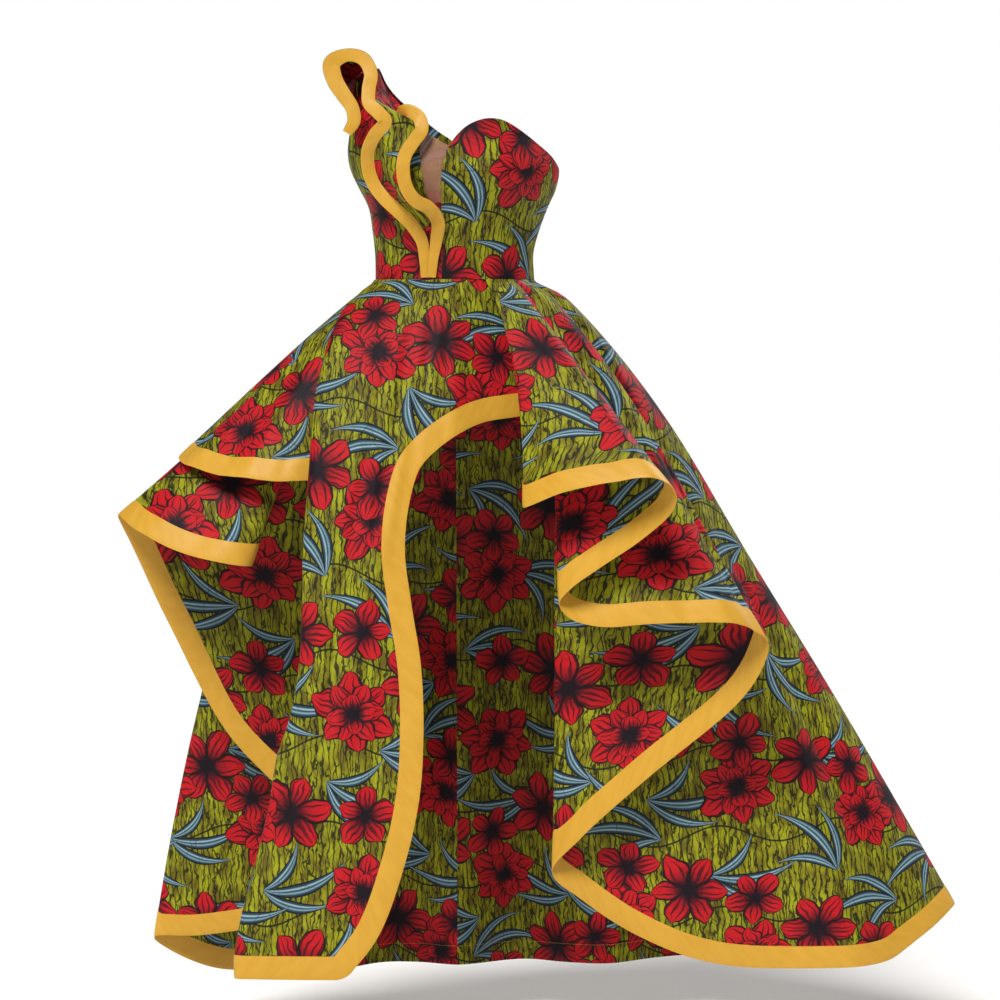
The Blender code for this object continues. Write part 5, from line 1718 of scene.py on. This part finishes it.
table = np.array(FRONT_PANEL)
row_numbers = np.arange(len(table))
edge_knots = path_knots(table[:, 2:4])
upper_rows = np.linspace(0, BOUND_ROW, BOUND_ROW * UPPER_STEPS + 1)
upper = np.stack([np.interp(upper_rows, row_numbers, column) for column in table.T], axis=1)
below = len(table) - 1 - BOUND_ROW
lower_rows = np.linspace(BOUND_ROW, len(table) - 1, below * LOWER_STEPS + 1)
lower = spline(edge_knots[BOUND_ROW:], table[BOUND_ROW:],
               np.interp(lower_rows, row_numbers, edge_knots))
rows = np.concatenate([upper[:-1], lower])
edge_x = rows[:, :1]
shares = np.concatenate([ROLL_SHARES, EVEN_SHARES])[None, :]
x = rows[:, 0:1] + (rows[:, 2:3] - rows[:, 0:1]) * shares
z = rows[:, 1:2] + (rows[:, 3:4] - rows[:, 1:2]) * shares
points = front_points(x, z, edge_x)
normals = front_normals(x, z, edge_x)
pattern = lay_flat(points, 0.0)
front = make_shell("front_panel_print", points, normals, CLOTH / 2, pattern, wax_print)
hand_in(front, "front_panel")

side, hem = lower[:, 2:4], np.stack([x[-1, ::-1], z[-1, ::-1]], axis=1)
side_out, hem_out = (unit(np.gradient(line, axis=0)) @ [[0.0, 1.0], [-1.0, 0.0]]
                     for line in (side, hem))
turn = np.linspace(0.0, 1.0, CORNER_STEPS)[1:-1, None]
corner_out = unit(side_out[-1] * (1 - turn) + hem_out[0] * turn)
path = np.concatenate([side, np.repeat(side[-1:], len(turn), axis=0), hem])
outward = np.concatenate([side_out, corner_out, hem_out])
reach = np.linspace(-UNDER_EDGE, BAND, BAND_COLUMNS)[None, :, None]
flat = path[:, None] + outward[:, None] * reach
place = (flat[..., 0], flat[..., 1], np.full(flat.shape[:2], edge_x[-1, 0]))
make_binding_piece("binding_front_panel", "front_panel_binding", front_points(*place),
                   front_normals(*place), "first")

# %% [markdown]
# ## Studio
# A plain pale floor and soft light show cloth best: one broad light high on the camera's left
# models the folds, a weaker one from behind does the same for the back, and a little light from
# the pale surroundings keeps the shadows from going black.  The floor is one large face of matt
# paper.

# %% Floor
def make_floor():
    """Matt paper floor, far wider than the view."""
    material, tree, add = new_material("studio_paper")
    place = add("TexCoord", output=3)
    grain = add("TexNoise", place, sockets={"Scale": 3.0, "Detail": 4.0})
    tone = add("Mix", grain, sockets={FIRST: colour("#F4F2EE"), SECOND: colour("#F8F6F3")},
               **OF_COLOURS)
    shader = add("BsdfPrincipled", sockets={"Base Color": tone, "Roughness": 0.85})
    add("OutputMaterial", shader)
    return material


FLOOR_DROP = 0.075       # a gown worn with raised heels hangs this far above the floor
LEFT, RIGHT, NEAR, FAR = -12, 12, -9, 14   # metres to the floor's edges, out of every view
FLOOR_LEVEL = cad_box[0][2] - FLOOR_DROP
mesh = bpy.data.meshes.new("studio_floor")
mesh.from_pydata([(LEFT, NEAR, FLOOR_LEVEL), (RIGHT, NEAR, FLOOR_LEVEL),
                  (RIGHT, FAR, FLOOR_LEVEL), (LEFT, FAR, FLOOR_LEVEL)], [], [(0, 1, 2, 3)])
mesh.materials.append(make_floor())
floor = put_in_scene("studio_floor", mesh)
print("floor at", round(FLOOR_LEVEL, 4), "m")

# %% [markdown]
# ### Lights and surroundings
# Each lamp is a sun, whose light falls at one angle on the whole gown.  The wider the sun looks
# from the gown, the softer the edges of its shadows.  The world is pure white to the camera, as a
# studio backdrop is, but lights the cloth only weakly, and a Light Path node tells the two apart.

# %% Lights and world
SKY_LIGHT = 0.10         # how strongly the pale surroundings light the cloth
SKY_SEEN = 1.00          # and how bright they look themselves
LAMP_DISTANCE = 4        # metres; a sun shines the same from anywhere, so this is for the eye only
LIGHTS = [
    # name, direction it shines from (right, front, up), soft edge in degrees, strength
    ("key_light", (-0.40, 0.86, 1.05), 18.0, 3.40),
    ("back_light", (0.80, -0.75, 0.90), 20.0, 1.70),
]
for name, source, softness, strength in LIGHTS:
    light = bpy.data.lights.new(name, "SUN")
    light.angle = math.radians(softness)
    light.energy = strength
    lamp = put_in_scene(name, light)
    right, front_way, up = source
    lamp.rotation_euler = (math.atan2(math.hypot(right, front_way), up), 0.0,
                           math.atan2(right, front_way))
    lamp.location = [LAMP_DISTANCE * part for part in (right, -front_way, up)]

world = bpy.data.worlds.new("studio_world")
world.use_nodes = True
world.node_tree.nodes.clear()
add = functools.partial(add_node, world.node_tree, "ShaderNode")
seen = add("LightPath")
strength = add("MapRange", seen, 0.0, 1.0, SKY_LIGHT, SKY_SEEN)
sky = add("Background", colour("#FFFFFF"), strength)
add("OutputWorld", sky)
bpy.context.scene.world = world
bpy.context.scene.view_settings.view_transform = "Standard"
print("lights:", [row[0] for row in LIGHTS])

# %% [markdown]
# ## Sizes
# The solids' box is printed.

# %% The solids' box
print("cad", [[round(v, 4) for v in corner] for corner in cad_box])
